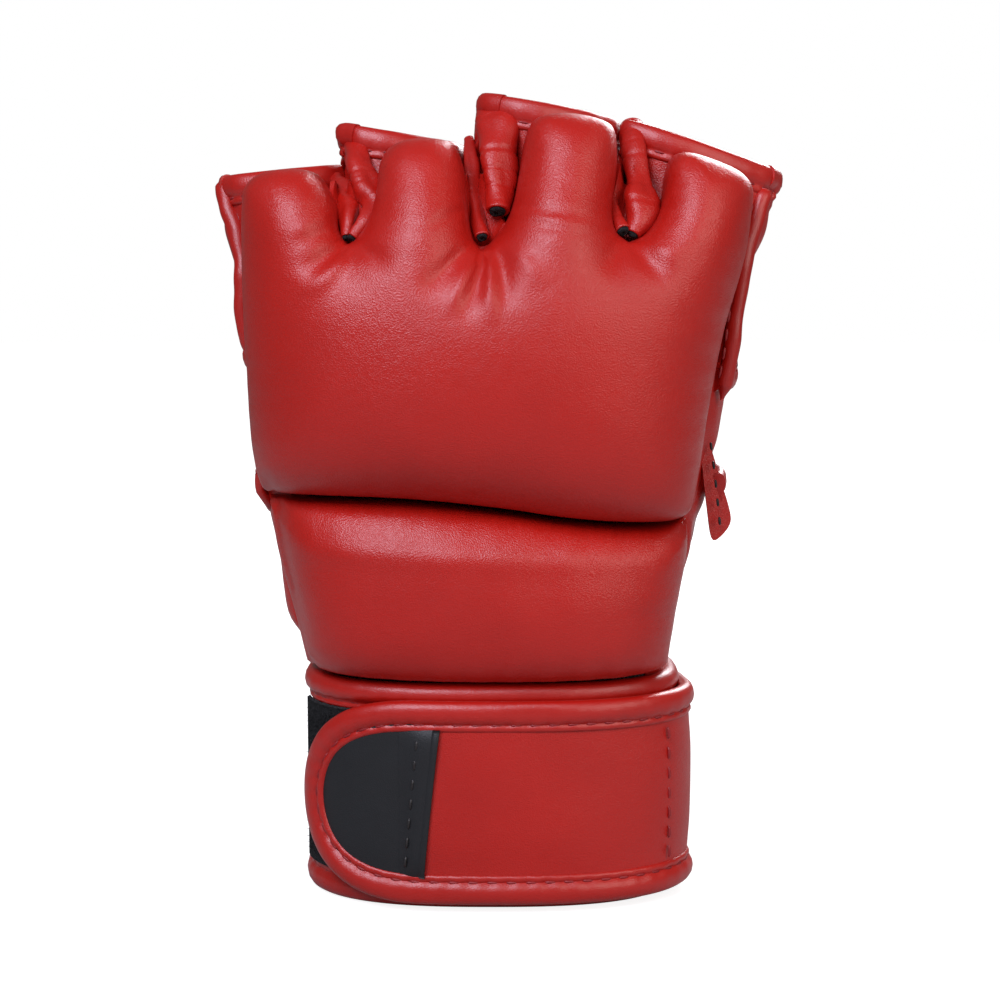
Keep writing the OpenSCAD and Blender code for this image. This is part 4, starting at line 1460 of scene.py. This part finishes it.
def web_rolls():
    """The rolled strips between the fingers: path, radii along it, and how far its raw end stands out."""
    rows = (
        ("ring", "ring_left", [(-32.6, -1, 184), (-32.3, -9, 180), (-30.9, -14, 175.5), (-29.3, -18, 171.2),
                               (-27.6, -21, 167.6), (-29.2, -25, 163.8), (-31.9, -27, 159.9)],
         (2.6, 2.8, 3.2, 3.1, 2.3, 1.7, 1.5), 1.1),
        ("pinky", "pinky_right", [(-38.0, -2, 174.5), (-35.4, -10, 171.5), (-33.6, -15, 168),
                                  (-33.6, -21, 164.6), (-33.6, -25, 160.0)], (1.8, 2.4, 3.1, 2.4, 1.3), 1.0),
        ("ring", "ring_right", [(-5.6, 0, 184), (-5.0, -7, 178.5), (-4.4, -13, 171.5), (-3.3, -19, 165),
                                (-2.3, -25, 160.0)], (1.2, 1.6, 1.9, 1.9, 1.8), 1.0),
        ("middle", "middle_left", [(1.0, -4, 191), (1.2, -9, 186.5), (1.2, -13, 181), (1.5, -17, 175.4),
                                   (1.6, -20, 170), (1.2, -23, 166.0)], (4.4, 4.9, 4.7, 4.0, 3.3, 2.8), 0.9),
        ("index", "index_left", [(34.0, -3, 187), (34.2, -8, 182.6), (34.6, -12, 177.5), (35.4, -16, 172.4),
                                 (35.3, -20, 168.0), (34.6, -23, 163.9), (32.8, -25, 160.6)],
         (2.9, 3.0, 3.4, 2.8, 4.0, 3.2, 1.8), 0.9),
        ("middle", "middle_right", [(31.5, 2, 180), (30.4, -8, 175), (28.7, -15, 171), (27.9, -19, 167.4),
                                    (29.0, -23, 163.8), (30.2, -26, 161.4)],
         (1.2, 1.5, 1.6, 1.6, 1.8, 1.8), 1.3),
    )
    for k, (finger, name, path, radii, raw) in enumerate(rows):
        FINGER[finger].put(*roll(f"{name}_roll", path, radii, 400 + 7 * k, raw))


def webs():
    """The leather saddles between the finger sleeves."""
    u = np.linspace(-1, 1, 21)[:, None]
    v = np.linspace(0, 1, 31)[None, :]
    for k, (x, _) in enumerate(WEBS):
        y = mix(-24.0, -3.0, v) + 0 * u
        inside = step(v, 0.05, 0.45)
        crest = (10.0, 12.0, 14.5)[k] * inside * (1 - 0.6 * step(v, 0.6, 1.0))
        lift = 5.5 * u**2 - 1.5 + crest + 0.5 * wander(np.stack([6 * u + 0 * v, y, y], -1), 9, 500 + k)
        across = x + (-2.2, -2.0, 0.0)[k] * inside + mix(5.0, 1.5, inside) * u
        grid = np.stack([across, y, WEB_Z + lift], -1)
        HAND.put(leather_sheet(f"web_{k + 1}", grid, LEATHER, 1.2)[0])


VENTS = {"pinky": (-50.5, -0.6), "ring": (-13.5, 11.0), "middle": (11.0, 2.6), "index": (48.0, 4.8)}


def vent(name, grid):
    """The small ragged hole punched in the palm side of a finger's leather."""
    x, z = VENTS[name]
    at = snap_to([(x, WEB_Z + z)], grid[grid[..., 1] > 4])[0]
    q = circle(18)
    ragged = 1 + 0.12 * np.sin(3 * q + x) + 0.10 * np.sin(5 * q + 2 * x)
    rows = [at + np.stack([r * ragged * np.cos(q), y + 0 * q, 0.8 * r * ragged * np.sin(q)], -1)
            for r, y in ((0.3, 0.0), (0.8, 0.15), (1.2, 0.1), (1.3, -1.6))]
    FINGER[name].put(closed_tube(f"{name}_vent", np.stack(rows), LOOP))


# where threads and torn leather hang inside each rim: angle round the sleeve, spread, and reach down
FRAYS = {"pinky": (292, 22, 3.0), "ring": (238, 22, 3.0), "middle": (238, 26, 11.0), "index": (70, 22, 3.5)}


def frays(name, seed):
    """Threads and torn leather hanging inside a rim where its tape is cut."""
    rng = np.random.default_rng(seed)
    b0, spread, reach = FRAYS[name]
    s = np.linspace(0, 1, 10)
    q = circle(6)
    for tag, material, count in (("red", TAPE, 6), ("black", KNIT, 4)):
        verts, faces = [], []
        for _ in range(count):
            b = b0 + spread * (rng.random() - 0.5) + 5 * np.sin(4 * s + 6 * rng.random())
            drop = reach * (0.45 + 0.55 * rng.random()) / 40
            line = tube(name, 0.985 - drop * s, b, -1.9 - 1.3 * s - 0.9 * rng.random())
            r = (0.45 + 0.35 * rng.random()) * (1 - 0.75 * s**2)
            along = unit(np.gradient(line, axis=0))
            side = unit(np.cross(along, [0.3, 1, 0]))
            ring = (line[:, None] + r[:, None, None] * (np.cos(q)[None, :, None] * side[:, None]
                    + 0.6 * np.sin(q)[None, :, None] * np.cross(along, side)[:, None]))
            base = len(verts)
            verts += list(ring.reshape(-1, 3))
            faces += [*(base + tube_faces(10, 6, False)), *end_faces(10, 6, base)]
        FINGER[name].put(make_mesh(f"{name}_frayed_{tag}", verts, faces, material))


# ------------------------------------------------------------------ stage

def light(name, at, look, size, power_w, color=(1, 1, 1)):
    lamp = bpy.data.lights.new(name, "AREA")
    lamp.shape, lamp.size, lamp.energy, lamp.color = "SQUARE", size, power_w, color
    obj = link(name, lamp)
    obj.location = at
    obj.rotation_euler = (Vector(look) - Vector(at)).to_track_quat("-Z", "Y").to_euler()


FLOOR_R = 4.0  # metres, like all of the stage


def studio_floor():
    """A pale floor that the camera sees as white a little way out from the glove."""
    material, tree, bsdf, _ = new_material("studio_white", Base_Color=(0.35, 0.35, 0.35, 1), Roughness=0.9,
                                           Emission_Color=(1, 1, 1, 1))
    seen = tree.nodes.new("ShaderNodeLightPath").outputs["Is Camera Ray"]
    away = node_of(tree, "ShaderNodeVectorMath", operation="LENGTH")
    tree.links.new(tree.nodes.new("ShaderNodeNewGeometry").outputs["Position"], away.inputs[0])
    glow = node_of(tree, "ShaderNodeMath", operation="MULTIPLY_ADD")
    tree.links.new(seen, glow.inputs[0])
    tree.links.new(ramp(tree, away.outputs["Value"], 0.84, 1.0, 0.10, 0.45), glow.inputs[1])
    glow.inputs[2].default_value = 0.03
    tree.links.new(glow.outputs[0], bsdf.inputs["Emission Strength"])
    mesh = bpy.data.meshes.new("studio_floor")
    rim = [(FLOOR_R * math.cos(q), FLOOR_R * math.sin(q), 0) for q in circle(64)]
    mesh.from_pydata(rim, [], [tuple(range(64))])
    mesh.materials.append(material)
    link("studio_floor", mesh)


def studio_lights():
    middle = (0, 0, 0.1)
    light("key", (-0.30, -0.66, 0.74), middle, 0.5, 9.2, (0.82, 0.84, 1.0))
    light("warm", (0.55, -0.60, 0.50), middle, 0.6, 3.6, (1.0, 0.93, 0.88))
    light("palm", (0.40, 0.80, 0.65), middle, 0.45, 9.6, (0.95, 0.96, 1.0))


def studio_world():
    """A white background for the camera and a dim even light for the glove."""
    bpy.context.scene.view_settings.view_transform = "Standard"
    world = bpy.data.worlds.new("studio")
    bpy.context.scene.world = world
    world.use_nodes = True
    tree = world.node_tree
    seen, lit = tree.nodes["Background"], tree.nodes.new("ShaderNodeBackground")
    for background, strength in ((seen, 1.0), (lit, 0.15)):
        background.inputs["Color"].default_value = (1, 1, 1, 1)
        background.inputs["Strength"].default_value = strength
    ray, pick = tree.nodes.new("ShaderNodeLightPath"), tree.nodes.new("ShaderNodeMixShader")
    tree.links.new(ray.outputs["Is Camera Ray"], pick.inputs[0])
    tree.links.new(lit.outputs[0], pick.inputs[1])
    tree.links.new(seen.outputs[0], pick.inputs[2])
    tree.links.new(pick.outputs[0], tree.nodes["World Output"].inputs["Surface"])


def main_camera():
    camera = bpy.data.cameras.new("camera")
    camera.lens = 68
    obj = link("camera", camera)
    far, rise, middle_x = 0.47, math.radians(6.5), 0.002
    obj.location = (middle_x, -far * math.cos(rise), 0.0975 + far * math.sin(rise))
    obj.rotation_euler = (Vector((middle_x, 0, 0.0955)) - obj.location).to_track_quat("-Z", "Y").to_euler()
    bpy.context.scene.camera = obj


cuff()
loop_tape()
strap()
strap_tapes()
strap_tab()
hook_tapes()
knuckle_pad()
back_pad()
back_knit()
side_panel("pinky_side", 249, 303, "pinky_gusset", 121, 0.6)
side_panel("thumb_side", 57, 111, "thumb_gusset", 131, 1.0)
palm_band()
side_seams()
wrap_panel()
palm_pad(thumb_flap())
for k, finger_name in enumerate(FINGER_NAMES):
    sleeve(finger_name, 200 + 10 * k)
web_rolls()
webs()
side_loop()
studio_floor()
studio_lights()
studio_world()
main_camera()
